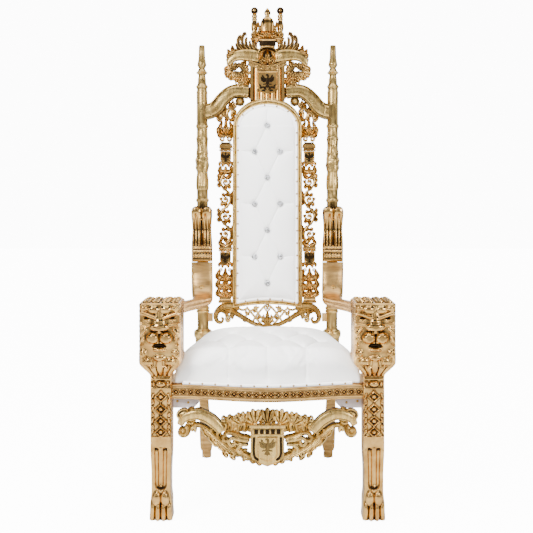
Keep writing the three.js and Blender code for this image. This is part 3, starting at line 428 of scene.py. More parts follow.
def turned(profile, sides=24, waves=None):
    """A turned piece: each (radius, z) of the profile goes round the z axis. waves(angle, z) adds carving."""
    points = np.asarray(profile, float)
    angle = all_round(sides)
    radius = points[:, :1] * np.ones(sides)
    if waves:
        radius = radius + waves(angle[None, :], points[:, 1:])
    height = points[:, 1:] * np.ones(sides)
    rings = np.stack([radius * np.sin(angle), -radius * np.cos(angle), height], axis=-1)
    reach = 2 if len(points) > 12 else 1
    # Painted shade in the grooves of the profile.
    return shell(rings, raised(radius, reach=reach, span=3.0, middle=0.75))


def rounded_square(columns, sharpness=12.0):
    """Points round a square with rounded corners, closer together at the corners: a circle's points, each
    divided by the root of the sum of its |x| and |y| to the power of the sharpness."""
    angle = all_round(columns)
    angle = angle + 0.7 * np.sin(4 * angle) / 4
    circle = np.stack([np.sin(angle), -np.cos(angle)], axis=-1)
    return circle / (np.abs(circle) ** sharpness).sum(axis=1, keepdims=True) ** (1 / sharpness)


def facing_front(shaped, at):
    """A turned shell laid down to face the front, with the foot of its line at a point."""
    p, q, t, r = shaped
    return outward(np.stack([p[:, 0] + at[0], at[1] - p[:, 2], p[:, 1] + at[2]], axis=-1), q, t, r)


def block(low, high, bevel=1.5, relief=0.8, columns=32):
    """A box with rounded edges between two corners (x, y, z)."""
    low, high = np.array(low, float), np.array(high, float)
    half, middle = (high - low) / 2, (low + high) / 2
    edge = rounded_square(columns)
    z = np.array([low[2], low[2] + bevel * 0.3, low[2] + bevel, high[2] - bevel, high[2] - bevel * 0.3, high[2]])
    inset = np.array([bevel, bevel * 0.3, 0, 0, bevel * 0.3, bevel])[:, None]
    x = middle[0] + edge[:, 0] * (half[0] - inset)
    y = middle[1] + edge[:, 1] * (half[1] - inset)
    return shell(np.stack([x, y, z[:, None] * np.ones(columns)], axis=-1), relief)


def panel(levels, half_width, height, columns=41, tone=None, lowered=None):
    """A board that is a height over each point of a grid: rows at the levels, each as wide as half_width
    says, and a flat back. lowered(x, z) moves a point along z, for an edge that isn't level."""
    levels = np.asarray(levels, float)
    across = np.linspace(-1, 1, columns)
    x = half_width(levels)[:, None] * across
    z = levels[:, None] * np.ones(columns)
    rise = height(x, z)
    if lowered:
        z = z + lowered(x, z)
    front = np.stack([x, -rise, z], axis=-1)
    back = front[:, [-1, 0]].copy()
    back[..., 1] = 0
    values = raised(rise) if tone is None else tone(x, z, rise)
    edge = np.zeros((len(levels), 2))
    return shell(np.concatenate([front, back], axis=1), np.concatenate([values, edge], axis=1))


# Pieces


def piece(name, shells, material, slot, replaces=(), crease=38.0):
    """One mesh of all the shells, in metres, riding on the throne, with its relief as an attribute."""
    shells = flat_list(shells)
    starts = np.cumsum([0] + [len(s[0]) for s in shells])[:-1]
    points = np.concatenate([s[0] for s in shells]) * MM
    quads = np.concatenate([s[1] + n for s, n in zip(shells, starts)])
    tris = np.concatenate([s[2] + n for s, n in zip(shells, starts)])
    mesh = bpy.data.meshes.new(name)
    mesh.vertices.add(len(points))
    mesh.vertices.foreach_set("co", points.astype(np.float32).ravel())
    mesh.loops.add(4 * len(quads) + 3 * len(tris))
    mesh.loops.foreach_set("vertex_index", np.concatenate([quads.ravel(), tris.ravel()]).astype(np.int32))
    mesh.polygons.add(len(quads) + len(tris))
    loop_starts = np.concatenate([4 * np.arange(len(quads)), 4 * len(quads) + 3 * np.arange(len(tris))])
    mesh.polygons.foreach_set("loop_start", loop_starts.astype(np.int32))
    mesh.update(calc_edges=True)
    relief = mesh.attributes.new("relief", "FLOAT", "POINT")
    relief.data.foreach_set("value", np.concatenate([s[3] for s in shells]).astype(np.float32))
    mesh.shade_smooth()
    mesh.set_sharp_from_angle(angle=math.radians(crease))
    mesh.materials.append(material)
    made = bpy.data.objects.new(name, mesh)
    bpy.context.scene.collection.objects.link(made)
    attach(made, BODY)
    if replaces:
        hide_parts(*replaces)
    return made


def pair(name, shells, material, slot, replaces=(), **settings):
    """A piece drawn for the right side and its image on the left, each replacing its own side's nodes."""
    for side, own in (("right", flat_list(shells)), ("left", mirrored(shells))):
        nodes = [f"{node}_{side}" for node in replaces]
        piece(f"{name}_{side}", own, material, slot, nodes, **settings)


# Materials


def shader(name, metallic, roughness, **inputs):
    """A new material and its nodes: a Principled shader with constants set on its own sockets."""
    material = bpy.data.materials.new(name)
    material.use_nodes = True
    nodes = material.node_tree.nodes
    surface = nodes["Principled BSDF"]
    surface.inputs["Metallic"].default_value = metallic
    surface.inputs["Roughness"].default_value = roughness
    for socket, value in inputs.items():
        surface.inputs[socket.replace("_", " ")].default_value = value
    return material, nodes, material.node_tree.links, surface


def node(nodes, kind, inputs=None, **settings):
    """A node of a kind, with its settings and the values of its sockets."""
    made = nodes.new(kind)
    for key, value in settings.items():
        setattr(made, key, value)
    for socket, value in (inputs or {}).items():
        made.inputs[socket].default_value = value
    return made


def noise(nodes, links, scale, detail=3.0, stretch=(1, 1, 1)):
    """Noise on Object coordinates, stretched along the axes."""
    place = node(nodes, "ShaderNodeTexCoord")
    mapping = node(nodes, "ShaderNodeMapping", {"Scale": stretch})
    made = node(nodes, "ShaderNodeTexNoise", {"Scale": scale, "Detail": detail, "Roughness": 0.55})
    links.new(place.outputs["Object"], mapping.inputs["Vector"])
    links.new(mapping.outputs["Vector"], made.inputs["Vector"])
    return made.outputs["Fac"]


def ramp(nodes, links, source, stops):
    """A colour or value read off stops of (place, colour) by the source."""
    made = node(nodes, "ShaderNodeValToRGB")
    places = made.color_ramp.elements
    while len(places) < len(stops):
        places.new(0.5)
    for place, (position, colour) in zip(places, stops):
        place.position = position
        place.color = (*colour, 1) if hasattr(colour, "__len__") else (colour, colour, colour, 1)
    links.new(source, made.inputs["Fac"])
    return made.outputs["Color"]


def blended(nodes, links, factor, first, second, mode="MIX", share=1.0):
    """Two colours mixed by a factor socket, or by a fixed share."""
    made = node(nodes, "ShaderNodeMix", data_type="RGBA", blend_type=mode)
    factor_in, a, b = made.inputs[0], made.inputs[6], made.inputs[7]
    if factor is None:
        factor_in.default_value = share
    else:
        links.new(factor, factor_in)
    for socket, value in ((a, first), (b, second)):
        if hasattr(value, "links") or hasattr(value, "is_linked"):
            links.new(value, socket)
        else:
            socket.default_value = (*value, 1)
    return made.outputs[2]


def bumped(nodes, links, surface, source, strength, distance):
    """A bump of the source on the shader's normal."""
    made = node(nodes, "ShaderNodeBump", {"Strength": strength, "Distance": distance})
    links.new(source, made.inputs["Height"])
    links.new(made.outputs["Normal"], surface.inputs["Normal"])


def turned_back(nodes, links):
    """1 on faces that look straight back, where the carver's boards are flat and plainly painted."""
    place = node(nodes, "ShaderNodeTexCoord")
    parts = node(nodes, "ShaderNodeSeparateXYZ")
    links.new(place.outputs["Normal"], parts.inputs[0])
    return ramp(nodes, links, parts.outputs["Y"], [(0.86, 0.0), (0.97, 1.0)])


def gilding(name, colour, hollow, shine, dull, streaks):
    """Gold over carved wood: its own colour on the crests, dark patina and painted shade in the hollows by the
    relief attribute, thin worn streaks along the grain, and a slightly uneven polish. Flat backs are left plain."""
    material, nodes, links, surface = shader(name, 1.0, shine)
    relief = node(nodes, "ShaderNodeAttribute", attribute_name="relief").outputs["Fac"]
    cloud = noise(nodes, links, 60.0)
    grain = noise(nodes, links, 30.0, 4.0, streaks)
    deep = tuple(c * s for c, s in zip(colour, (0.62, 0.55, 0.5)))
    tone = blended(nodes, links, ramp(nodes, links, grain, [(0.35, 0.0), (0.7, 1.0)]), deep, colour)
    # Low relief is painted dark: partly patina, partly painted shade.
    carved = ramp(nodes, links, relief, [(0.12, 0.0), (0.7, 1.0)])
    patina_and_shade = blended(nodes, links, turned_back(nodes, links), carved, (0.85, 0.85, 0.85))
    links.new(blended(nodes, links, patina_and_shade, hollow, tone), surface.inputs["Base Color"])
    polish = ramp(nodes, links, cloud, [(0.3, shine), (0.75, dull)])
    links.new(blended(nodes, links, patina_and_shade, (0.5, 0.5, 0.5), polish), surface.inputs["Roughness"])
    bumped(nodes, links, surface, cloud, 0.06, 0.0015)
    return material


def plain_gilding(name, colour, shine, dull, streaks):
    """Satin gold paint on plain timber, for pieces without a relief attribute."""
    material, nodes, links, surface = shader(name, 0.85, shine)
    grain = noise(nodes, links, 22.0, 5.0, streaks)
    deep = tuple(c * 0.7 for c in colour)
    tone = blended(nodes, links, ramp(nodes, links, grain, [(0.3, 0.0), (0.7, 1.0)]), deep, colour)
    links.new(tone, surface.inputs["Base Color"])
    links.new(ramp(nodes, links, grain, [(0.3, shine), (0.75, dull)]), surface.inputs["Roughness"])
    bumped(nodes, links, surface, grain, 0.1, 0.001)
    return material


def vinyl(name, colour):
    """White leather-look vinyl: a pebbled grain, soft gloss, and painted shade, warmer and darker, in the folds by
    the relief attribute.
    """
    material, nodes, links, surface = shader(name, 0.0, 0.42, Coat_Weight=0.12, Coat_Roughness=0.3)
    relief = node(nodes, "ShaderNodeAttribute", attribute_name="relief").outputs["Fac"]
    shade = tuple(c * s for c, s in zip(colour, (0.5, 0.43, 0.34)))
    # Painted shade in the folds, creases and tuft wells.
    fold = ramp(nodes, links, relief, [(0.1, 0.0), (0.85, 1.0)])
    mottle = ramp(nodes, links, noise(nodes, links, 14.0), [(0.3, 0.965), (0.7, 1.0)])
    tone = blended(nodes, links, fold, shade, colour)
    links.new(blended(nodes, links, None, tone, mottle, "MULTIPLY"), surface.inputs["Base Color"])
    place = node(nodes, "ShaderNodeTexCoord")
    grain = node(nodes, "ShaderNodeTexVoronoi", {"Scale": 620.0})
    links.new(place.outputs["Object"], grain.inputs["Vector"])
    links.new(ramp(nodes, links, grain.outputs["Distance"], [(0.2, 0.36), (0.7, 0.5)]), surface.inputs["Roughness"])
    bumped(nodes, links, surface, grain.outputs["Distance"], 0.18, 0.0004)
    return material


def crystal_glass(name, colour):
    """Cut crystal over foil: bright and mirror-like, with dark patches painted into its colour as dark reflections
    in the facets.
    """
    material, nodes, links, surface = shader(name, 0.55, 0.04, Coat_Weight=1.0, Coat_Roughness=0.02, IOR=1.6)
    # Painted reflection: random dark patches multiplied into the colour.
    cloud = ramp(nodes, links, noise(nodes, links, 160.0, 1.0), [(0.42, 0.06), (0.58, 1.0)])
    links.new(blended(nodes, links, None, colour, cloud, "MULTIPLY", 0.8), surface.inputs["Base Color"])
    return material


def raw_board(name, colour):
    """Unfinished board with a fine grain along its length."""
    material, nodes, links, surface = shader(name, 0.0, 0.6)
    grain = noise(nodes, links, 40.0, 6.0, (0.3, 2.0, 4.0))
    dark = tuple(c * 0.7 for c in colour)
    tone = blended(nodes, links, ramp(nodes, links, grain, [(0.35, 0.0), (0.65, 1.0)]), dark, colour)
    links.new(tone, surface.inputs["Base Color"])
    bumped(nodes, links, surface, grain, 0.25, 0.0008)
    return material


def dark_plastic(name, colour):
    """Dull dark plastic, scuffed by the floor."""
    material, nodes, links, surface = shader(name, 0.0, 0.55)
    scuffs = noise(nodes, links, 150.0, 4.0)
    pale = tuple(min(1, c * 2.2) for c in colour)
    tone = blended(nodes, links, ramp(nodes, links, scuffs, [(0.45, 0.0), (0.8, 1.0)]), colour, pale)
    links.new(tone, surface.inputs["Base Color"])
    links.new(ramp(nodes, links, scuffs, [(0.3, 0.45), (0.7, 0.7)]), surface.inputs["Roughness"])
    return material


def brass(name, colour):
    """Domed brass, tarnished in patches."""
    material, nodes, links, surface = shader(name, 1.0, 0.28)
    patches = noise(nodes, links, 240.0, 2.0)
    dark = tuple(c * 0.55 for c in colour)
    tone = blended(nodes, links, ramp(nodes, links, patches, [(0.3, 0.0), (0.7, 1.0)]), dark, colour)
    links.new(tone, surface.inputs["Base Color"])
    return material


# Sizes and colours that a user would change


def length(name, description, default, low, high):
    """A length in metres."""
    return FloatProperty(name=name, description=description, default=default, min=low, max=high, unit="LENGTH")


def colour(name, description, default):
    """A linear colour."""
    return FloatVectorProperty(
        name=name, description=description, default=default, size=3, min=0, max=1, subtype="COLOR"
    )


class ThroneSizes(bpy.types.PropertyGroup):
    nail_radius: length("Nail radius", "Half width of a brass nail's dome", 0.0036, 0.002, 0.008)
    side_nail_pitch: length("Side nail spacing", "Between the nails down the back pad", 0.049, 0.02, 0.1)
    front_nail_pitch: length("Front nail spacing", "Between the nails along the seat", 0.0427, 0.02, 0.1)
    piping_radius: length("Piping radius", "Half width of the vinyl border", 0.0058, 0.002, 0.01)
    tuft_depth: length("Seat tuft depth", "How deep a tuft is drawn into the seat", 0.024, 0.0, 0.03)
    button_depth: length("Back tuft depth", "How deep a button sits in the back pad", 0.013, 0.0, 0.02)
    swell: length("Cushion swell", "The furthest that the seat's surface swells", 0.014, 0.0, 0.03)


class ThroneColours(bpy.types.PropertyGroup):
    gold: colour("Gold", "Polished gold leaf", (0.93, 0.58, 0.19))
    satin: colour("Satin gold", "Gold paint on the arms, rails and rear legs", (0.9, 0.57, 0.21))
    # The hollows' colour is dark patina and painted shade.
    hollow: colour("Hollows", "Dark wash in the hollows of the carving", (0.04, 0.024, 0.012))
    vinyl: colour("Vinyl", "Upholstery", (0.9, 0.88, 0.835))
    brass: colour("Brass", "Upholstery nails", (0.5, 0.3, 0.1))
    crystal: colour("Crystal", "Buttons of the back", (0.9, 0.92, 0.95))
    board: colour("Board", "Unfinished corner blocks", (0.42, 0.34, 0.35))
    glide: colour("Glides", "Plastic under the feet", (0.03, 0.024, 0.02))


SOFT_GAIN = 1.22  # how much brighter the soft gold is than the mean of the other two


def materials():
    """Every finish, made once from the colours."""
    colours = bpy.context.scene.throne_colours
    if "gold_leaf" not in bpy.data.materials:
        gold, satin, hollow = (tuple(c) for c in (colours.gold, colours.satin, colours.hollow))
        gilding("gold_leaf", gold, hollow, 0.11, 0.2, (1, 1, 1))
        soft = tuple(np.minimum(1, SOFT_GAIN * mix(np.array(gold), np.array(satin), 0.5)))
        gilding("soft_gold", soft, hollow, 0.24, 0.36, (3, 3, 0.4))
        gilding("satin_gold_carved", satin, hollow, 0.3, 0.42, (0.5, 3, 3))
        plain_gilding("satin_gold_timber", tuple(c * 0.95 for c in satin), 0.34, 0.46, (3, 3, 0.35))
        vinyl("white_vinyl", tuple(colours.vinyl))
        crystal_glass("cut_crystal", tuple(colours.crystal))
        raw_board("raw_board", tuple(colours.board))
        dark_plastic("glide_plastic", tuple(colours.glide))
        brass("brass", tuple(colours.brass))
    return bpy.data.materials


def finish_nodes(material, *names):
    """Gives CAD nodes that stay a better material."""
    for name in names:
        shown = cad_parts[name]
        shown.data.materials.clear()
        shown.data.materials.append(materials()[material])


# The front legs, each with its lion's head

LEG_HALF = 35.2
LEG_DRAWN, FACE_DRAWN = 31.0, 61.5  # half widths at which the leg's and the face's forms are given
HEAD_LOW, HEAD_HIGH = 463.0, 722.0
HEAD_HALF = 69.2
LEG_FRONT, LEG_BACK = -329.0 + SHIFT, -263.0 + SHIFT
HEAD_FRONT, HEAD_BACK = -359.0 + SHIFT, -222.5 + SHIFT
FACE_DEEPEST = 20.5  # the relief's highest point in front of the head's block


def up_to_head(z):
    """0 on the leg, 1 on the lion's head, and between them where the leg widens."""
    return smooth(HEAD_LOW + 12, HEAD_LOW + 66, z)


def soft_highest(forms, blend=1.6):
    """The highest of the forms with rounded valleys between them: the log of the sum of exponentials."""
    return blend * np.log(sum(np.exp(form / blend) for form in forms))


def face_relief(x, z):
    """The lion's face, and how dark each point is: mounds and ridges blended into one another, less the hollows of
    its mouth, eyes and nostrils, whose darkness is painted shade. x is from the middle of the face, z above the
    floor."""
    rise = soft_highest([
        mound(x, z, (0, 640), (64, 120), 6.0), mound(x, z, (0, 662), (17, 46), 15.0),
        mound(x, z, (0, 645), (31, 17), 21.5, 0.4), mound(x, z, (0, 660), (23, 17), 18.0, 0.5),
        twin_ridges(x, z, (15, 677), (52, 692), 9.5, 16.5), twin_mounds(x, z, (18, 701), (19, 16), 14.5),
        twin_mounds(x, z, (45, 706), (14, 13), 14.0), mound(x, z, (0, 600), (44, 34), 9.0, 0.5),
        twin_mounds(x, z, (37, 667), (9.5, 6.5), 10.0), twin_ridges(x, z, (28, 650), (57, 655), 6.5, 10.0),
        twin_ridges(x, z, (42, 636), (58, 618), 7.5, 10.5), twin_ridges(x, z, (48, 612), (58, 592), 7.0, 10.0),
        twin_mounds(x, z, (18.5, 610), (21, 21), 23.0), mound(x, z, (0, 630), (13, 9), 17.0),
        mound(x, z, (0, 571), (22, 7), 14.5, 0.6), mound(x, z, (0, 545), (20, 12), 12.5),
        twin_mounds(x, z, (47, 560), (13, 15), 12.0), twin_mounds(x, z, (30, 532), (15, 17), 12.0),
        twin_ridges(x, z, (50, 556), (59, 536), 6.0, 9.0),
    ])
    mouth = mound(x, z, (0, 585 - 0.006 * x**2), (21, 7.5), 1.0, 0.6)
    eyes = twin_mounds(x, z, (37, 674), (10, 3.0), 1.0, 0.7) + twin_mounds(x, z, (37, 667), (3.0, 2.6), 0.7)
    nostrils = twin_mounds(x, z, (8, 632), (6.0, 3.0), 0.8)
    cleft = ridge(x, z, (0, 622), (0, 592), 2.2, 1.0)
    hollows = 12 * mouth + 4 * eyes + 5 * nostrils + 5 * cleft
    return rise - hollows, np.clip(mouth * 1.8 + eyes + nostrils + 0.4 * cleft, 0, 1)


def leg_relief(x, z):
    """The front of the leg below the head: paw, fluted shank, plain band, stacked diamonds and a collar."""
    toes = np.maximum(
        twin_mounds(x, z, (12.5, 76), (13.5, 26), 12.0),
        np.maximum(twin_mounds(x, z, (8, 33), (8.4, 34), 14.5), twin_mounds(x, z, (24, 34), (8.4, 31), 11.0)),
    )
    loop_middle = 121.0
    sides = np.abs(np.abs(x) - 12.5) + 0 * z
    bowl = np.abs(np.hypot(x, z - loop_middle) - 12.5)
    distance = np.where(z > loop_middle, sides, bowl)
    shank = smooth(97, 108, z) * smooth(246, 238, z)
    flutes = -6.5 * hump(distance / 6.5, 0.6) * shank
    tongue = mound(x, z, (0, 116), (5.5, 5.5), 4.0) + 1.6 * smooth(6.5, 3, np.abs(x)) * shank
    band_foot = 243 - 5 * np.clip(1 - np.abs(x) / 16, 0, 1) - 3 * np.clip(np.abs(x) / 16 - 1, 0, 1)
    band = 2.6 * smooth(band_foot - 1.5, band_foot, z) * smooth(281, 279, z)
    carved = 0 * x
    for middle in (295.0, 331.0, 370.0, 411.0):
        spread = np.abs(x) + np.abs(z - middle)
        frame_ridge = 6.0 * hump((spread - 16.5) / 3.6, 0.6)
        boss = mound(x, z, (0, middle), (6.6, 6.6), 8.0)
        carved = np.maximum(carved, np.maximum(frame_ridge, boss))
        carved = np.maximum(carved, twin_mounds(x, z, (24.5, middle - 19), (6.6, 7.5), 6.5))
        carved = np.maximum(carved, twin_ridges(x, z, (28, middle - 6), (22, middle + 8), 3.8, 5.0))
    for height in (296.0, 330.0, 400.0):
        carved = np.maximum(carved, twin_mounds(x, z, (25, height), (5.5, 5.5), 8.0))
    carved = carved * smooth(277, 283, z) * smooth(438, 432, z)
    collar = np.maximum(mound(x, z, (0, 453), (15, 10.5), 11.0), twin_mounds(x, z, (20.5, 453), (4.4, 9), 7.0))
    collar = np.maximum(collar, twin_mounds(x, z, (28.0, 453), (3.6, 8), 6.0))
    rings = 2.2 * (smooth(434, 437, z) * smooth(442, 439, z) + smooth(464, 467, z) * smooth(474, 470, z))
    drape = 0 * x
    for at, size in ((0.0, 6.4), (12.0, 6.2), (24.0, 6.4)):
        drape = np.maximum(drape, twin_mounds(x, z, (at, 499 - at * 0.15), (size, 24), 12.0 - at * 0.1))
    return toes + flutes + tongue + band + carved + collar + rings + drape * smooth(474, 480, z)


def mane_relief(y, z):
    """The engraved mane on the side of the head, y from its front: wavy locks that sweep back."""
    wave = np.sin((z + 0.9 * y + 5 * np.sin(y / 14)) / 5.2)
    locks = 2.4 * np.abs(wave) ** 0.7
    edge = smooth(2, 12, y) * smooth(118, 96, y) * smooth(530, 548, z) * smooth(716, 706, z)
    return locks * edge


def front_leg_block():
    """The leg and head as rings from the floor up: a rounded square, drawn in below the head, each point
    pushed out along its face by the relief of that face."""
    levels = np.concatenate([
        np.linspace(5, 100, 44), np.linspace(102, 276, 60), np.linspace(277.5, 462, 118),
        np.linspace(463.3, HEAD_HIGH, 200),
    ])
    front_columns, side_columns, back_columns = 84, 20, 8
    across = np.linspace(-1, 1, front_columns)
    down = np.linspace(-1, 1, side_columns + 2)[1:-1]
    rear = np.linspace(1, -1, back_columns)
    square = np.concatenate([
        np.stack([across, -np.ones(front_columns)], axis=-1), np.stack([np.ones(side_columns), down], axis=-1),
        np.stack([rear, np.ones(back_columns)], axis=-1), np.stack([-np.ones(side_columns), -down], axis=-1),
    ])
    sharpness = 14.0
    edge = square / (np.abs(square) ** sharpness).sum(axis=1, keepdims=True) ** (1 / sharpness)
    drawn_in = up_to_head(levels)
    paw = smooth(40, 6, levels) * 2.0
    girth = LEG_HALF - 3.5 * smooth(60, 100, levels) * smooth(238, 150, levels)
    half = mix(girth + paw, HEAD_HALF, drawn_in)
    crown = smooth(HEAD_HIGH - 7, HEAD_HIGH, levels)
    half = half - 5 * crown**2
    front = mix(LEG_FRONT, HEAD_FRONT, drawn_in) + 5 * crown**2
    back = mix(LEG_BACK, HEAD_BACK, drawn_in) - 5 * crown**2
    x = half[:, None] * edge[:, 0]
    y = ((front + back) / 2)[:, None] + ((back - front) / 2)[:, None] * edge[:, 1]
    z = levels[:, None] * np.ones(len(edge))
    is_front = edge[:, 1] < -0.9
    on_front = smooth(0.0, 7.0, half[:, None] - np.abs(x)) * is_front
    face, dark = face_relief(x * FACE_DRAWN / half[:, None], z)
    lower = leg_relief(x * LEG_DRAWN / half[:, None], z)
    face_start = smooth(500, 530, z)
    rise = mix(lower, face, face_start)
    soft_edge = mix(smooth(0.0, 4.0, half[:, None] - np.abs(x)), on_front, face_start)
    rise = rise * np.where(is_front, soft_edge, 0)
    rise = np.minimum(rise, FACE_DEEPEST)
    is_side = np.abs(edge[:, 0]) > 0.9
    inwards = mane_relief(y - front[:, None], z) * is_side
    toes_side = twin_mounds(y - LEG_FRONT, z, (6, 34), (14, 31), 1.5) * is_side * (z < 100)
    y = y - rise
    x = x - np.sign(edge[:, 0]) * (2.4 * smooth(535, 550, z) * smooth(716, 706, z) - inwards) * is_side
    x = x + np.sign(edge[:, 0]) * toes_side
    height = rise + inwards
    lower_tone = raised(height, reach=4, span=3.6, middle=0.75)
    # Painted shade in the mouth, eyes and nostrils.
    face_tone = raised(height, reach=8, span=7.0, middle=0.78) * (1 - 0.95 * dark * is_front)
    values = mix(lower_tone, face_tone, face_start)
    plain = is_side & (z < 530)
    return shell(np.stack([x, y, z], axis=-1), np.where(plain, 0.85, values))


def widened(shells, share):
    """The shells with every x multiplied by the share."""
    return [(p * np.array([share, 1, 1]), q, t, r) for p, q, t, r in shells]


def lion_locks():
    """Leaves and curls that stand on the head's block: ears, fringe, cheek locks, beard and mane."""
    locks = [
        leaf((30, 702), (57, 716), 8, 13, bend=-0.25, curl=3), leaf((16, 703), (40, 717), 7, 12, bend=-0.3, curl=3),
        leaf((4, 702), (20, 718), 6, 12, bend=-0.3, curl=3), leaf((46, 692), (59, 700), 5, 10, bend=0.3),
        stroke(spiral((50, 710), 7.5, 2.0, 200, -420), 2.4, 14, steps=22),
        stroke(spiral((48, 559), 9.0, 3.0, 90, -430), 3.0, [13, 15], steps=26),
        leaf((38, 640), (57, 660), 4.5, 9, bend=0.25), leaf((40, 630), (58, 643), 4.5, 9, bend=0.2),
        leaf((41, 618), (58, 625), 4.5, 9, bend=0.15), leaf((41, 607), (58, 606), 4.5, 9, bend=-0.1),
        leaf((48, 594), (58, 586), 4.5, 9, bend=-0.2), leaf((37, 556), (57, 549), 5.5, 11, bend=-0.25),
        leaf((28, 548), (50, 532), 6, 12, bend=-0.25), leaf((20, 546), (40, 520), 6, 13, bend=-0.2),
        leaf((12, 540), (25, 508), 6, 14, bend=-0.15),
    ]
    on_face = widened(moved(both_sides(locks), y=HEAD_FRONT), HEAD_HALF / FACE_DRAWN)
    beard = [leaf((0, 532), (0, 495), 7, 16, bend=0), leaf((11, 524), (13, 487), 5.5, 14, bend=-0.1)]
    beard += [leaf((22, 520), (24, 489), 5.5, 11, bend=-0.1)]
    on_beard = widened(moved(both_sides(beard), y=LEG_FRONT - 5), LEG_HALF / LEG_DRAWN)
    top = []
    for depth in (14.0, 46.0, 78.0, 108.0):
        for x in (-40.0, -14.0, 14.0, 40.0):
            lean = 10 * math.copysign(1, x)
            top.append(leaf((x, depth), (x + lean, depth + 26), 11, 9, bend=0.15 * math.copysign(1, x), lobes=3))
    crown = [
        (np.stack([p[:, 0], p[:, 2], HEAD_HIGH - 1 - p[:, 1]], axis=-1), q, t, r) for p, q, t, r in flat_list(top)
    ]
    crown = widened([outward(*s) for s in moved(crown, y=HEAD_FRONT)], HEAD_HALF / FACE_DRAWN)
    return on_face + on_beard + crown


class ThroneFrontLegs(bpy.types.Operator):
    """Two legs carved with paws, flutes, diamonds and lions' heads"""

    bl_idname = "throne.front_legs"
    bl_label = "Front legs"

    def execute(self, context):
        shells = moved([front_leg_block(), *lion_locks()], x=LEG_X)
        pair("lion_leg", shells, materials()["gold_leaf"], GOLD_SLOT, ("front_leg",), crease=48)
        return {"FINISHED"}


# The seat rail, rear legs and small timber

RAIL_REACH = 313.5
RAIL_END_Y = -314.0 + SHIFT
RAIL_BOW = 46.0
DIAMONDS = 26


def rail_front(x):
    """The front face of the seat rail at x: it bows forwards as a squared cosine."""
    return RAIL_END_Y - RAIL_BOW * np.cos(np.pi / 2 * x / RAIL_REACH) ** 2


def seat_rail():
    """The bowed front rail: moulded bands above and below a row of diamonds, each with a bead in it."""
    columns = 20 * DIAMONDS
    x = np.linspace(-RAIL_REACH, RAIL_REACH, columns)
    height = RAIL_TOP - RAIL_BOTTOM
    v = np.concatenate([np.linspace(0, 0.24, 9), np.linspace(0.26, 0.74, 25), np.linspace(0.76, 1, 9)])
    z = (RAIL_BOTTOM + height * v)[None, :] * np.ones((columns, 1))
    pitch = 2 * RAIL_REACH / DIAMONDS
    cell = ((x[:, None] + RAIL_REACH) / pitch) % 1 * pitch - pitch / 2
    up = z - (RAIL_TOP + RAIL_BOTTOM) / 2
    bands = 1.6 * smooth(0.24, 0.26, np.abs(v - 0.5)) + 0.0 * cell
    coves = -1.4 * bell(np.abs(v - 0.5) - 0.4, 0.05) * np.ones_like(cell)
    spread = np.abs(cell) / 11.0 + np.abs(up) / 10.0
    ridges = 2.6 * hump((spread - 0.95) / 0.15, 0.6)
    pit = -2.4 * smooth(0.84, 0.7, spread)
    bead = 4.4 * hump(np.hypot(cell, up) / 3.6)
    buds = 2.0 * np.clip(1 - ((np.abs(cell) - pitch / 2) / 2.6) ** 2 - ((np.abs(up) - 6.5) / 3.2) ** 2, 0, 1) ** 0.5
    row = smooth(11.6, 10.6, np.abs(up))
    rise = bands + coves + (ridges + pit + bead + buds) * row
    rise = rise * smooth(0, 0.03, 0.5 - np.abs(v - 0.5)) + 0.4
    front = np.stack([x[:, None] * np.ones_like(z), rail_front(x)[:, None] - rise, z], axis=-1)
    rear_y = RAIL_END_Y + 38.0
    back = np.stack([front[:, -1], front[:, 0]], axis=1)
    back[..., 1] = rear_y
    # Painted shade: the pits of the diamonds, and half as much the ground beside the buds, are darkened.
    pits = (bead < 0.8) * (spread < 0.82) + 0.5 * (spread > 1.08) * (buds < 0.6)
    values = raised(rise, 3, 2.4, 0.72) * (1 - 0.85 * pits * row)
    return shell(
        np.concatenate([front, back], axis=1), np.concatenate([values, np.full((columns, 2), 0.8)], axis=1)
    )


def rear_leg():
    """The right rear leg: rounded square rings that narrow from the seat, rake back and step in at the foot."""
    rows = np.array([
        (5, 247, 313, 18), (34, 247.3, 306, 18), (36, 247.3, 306, 21.5), (47, 247.6, 301, 23.5),
        (60, 247.8, 294, 24), (108, 248.4, 279, 24), (150, 249.4, 262, 22), (200, 250.6, 241, 19.5),
        (260, 251.6, 222, 17.5), (320, 252.4, 208, 17), (RAIL_BOTTOM, 252.8, 200, 17), (RAIL_TOP, 252.8, 200, 17),
    ], float)
    z = np.concatenate([[5, 6, 33.5, 34.5, 36, 40, 47], np.linspace(52, RAIL_TOP, 44)])
    x, y, half = (np.interp(z, rows[:, 0], rows[:, k])[:, None] for k in (1, 2, 3))
    y = y + SHIFT
    edge = rounded_square(48)
    return shell(np.stack([x + edge[:, 0] * half, y + edge[:, 1] * 18.8, z[:, None] * np.ones(48)], axis=-1), 0.85)


def screw(middle):
    """A countersunk screw head with a cross in it, facing the front."""
    x, y, z = middle
    radius = 4.2
    head = turned([(radius, 0), (radius, 0.8), (radius * 0.85, 1.6), (radius * 0.2, 1.9)], sides=20)
    head = facing_front(head, middle)
    bars = [
        block((x - a, y - 2.5, z - b), (x + a, y - 1.5, z + b), 0.2, 0.1, 8) for a, b in ((2.6, 0.5), (0.5, 2.6))
    ]
    return [(*head[:3], head[3] * 0 + 0.9), *bars]


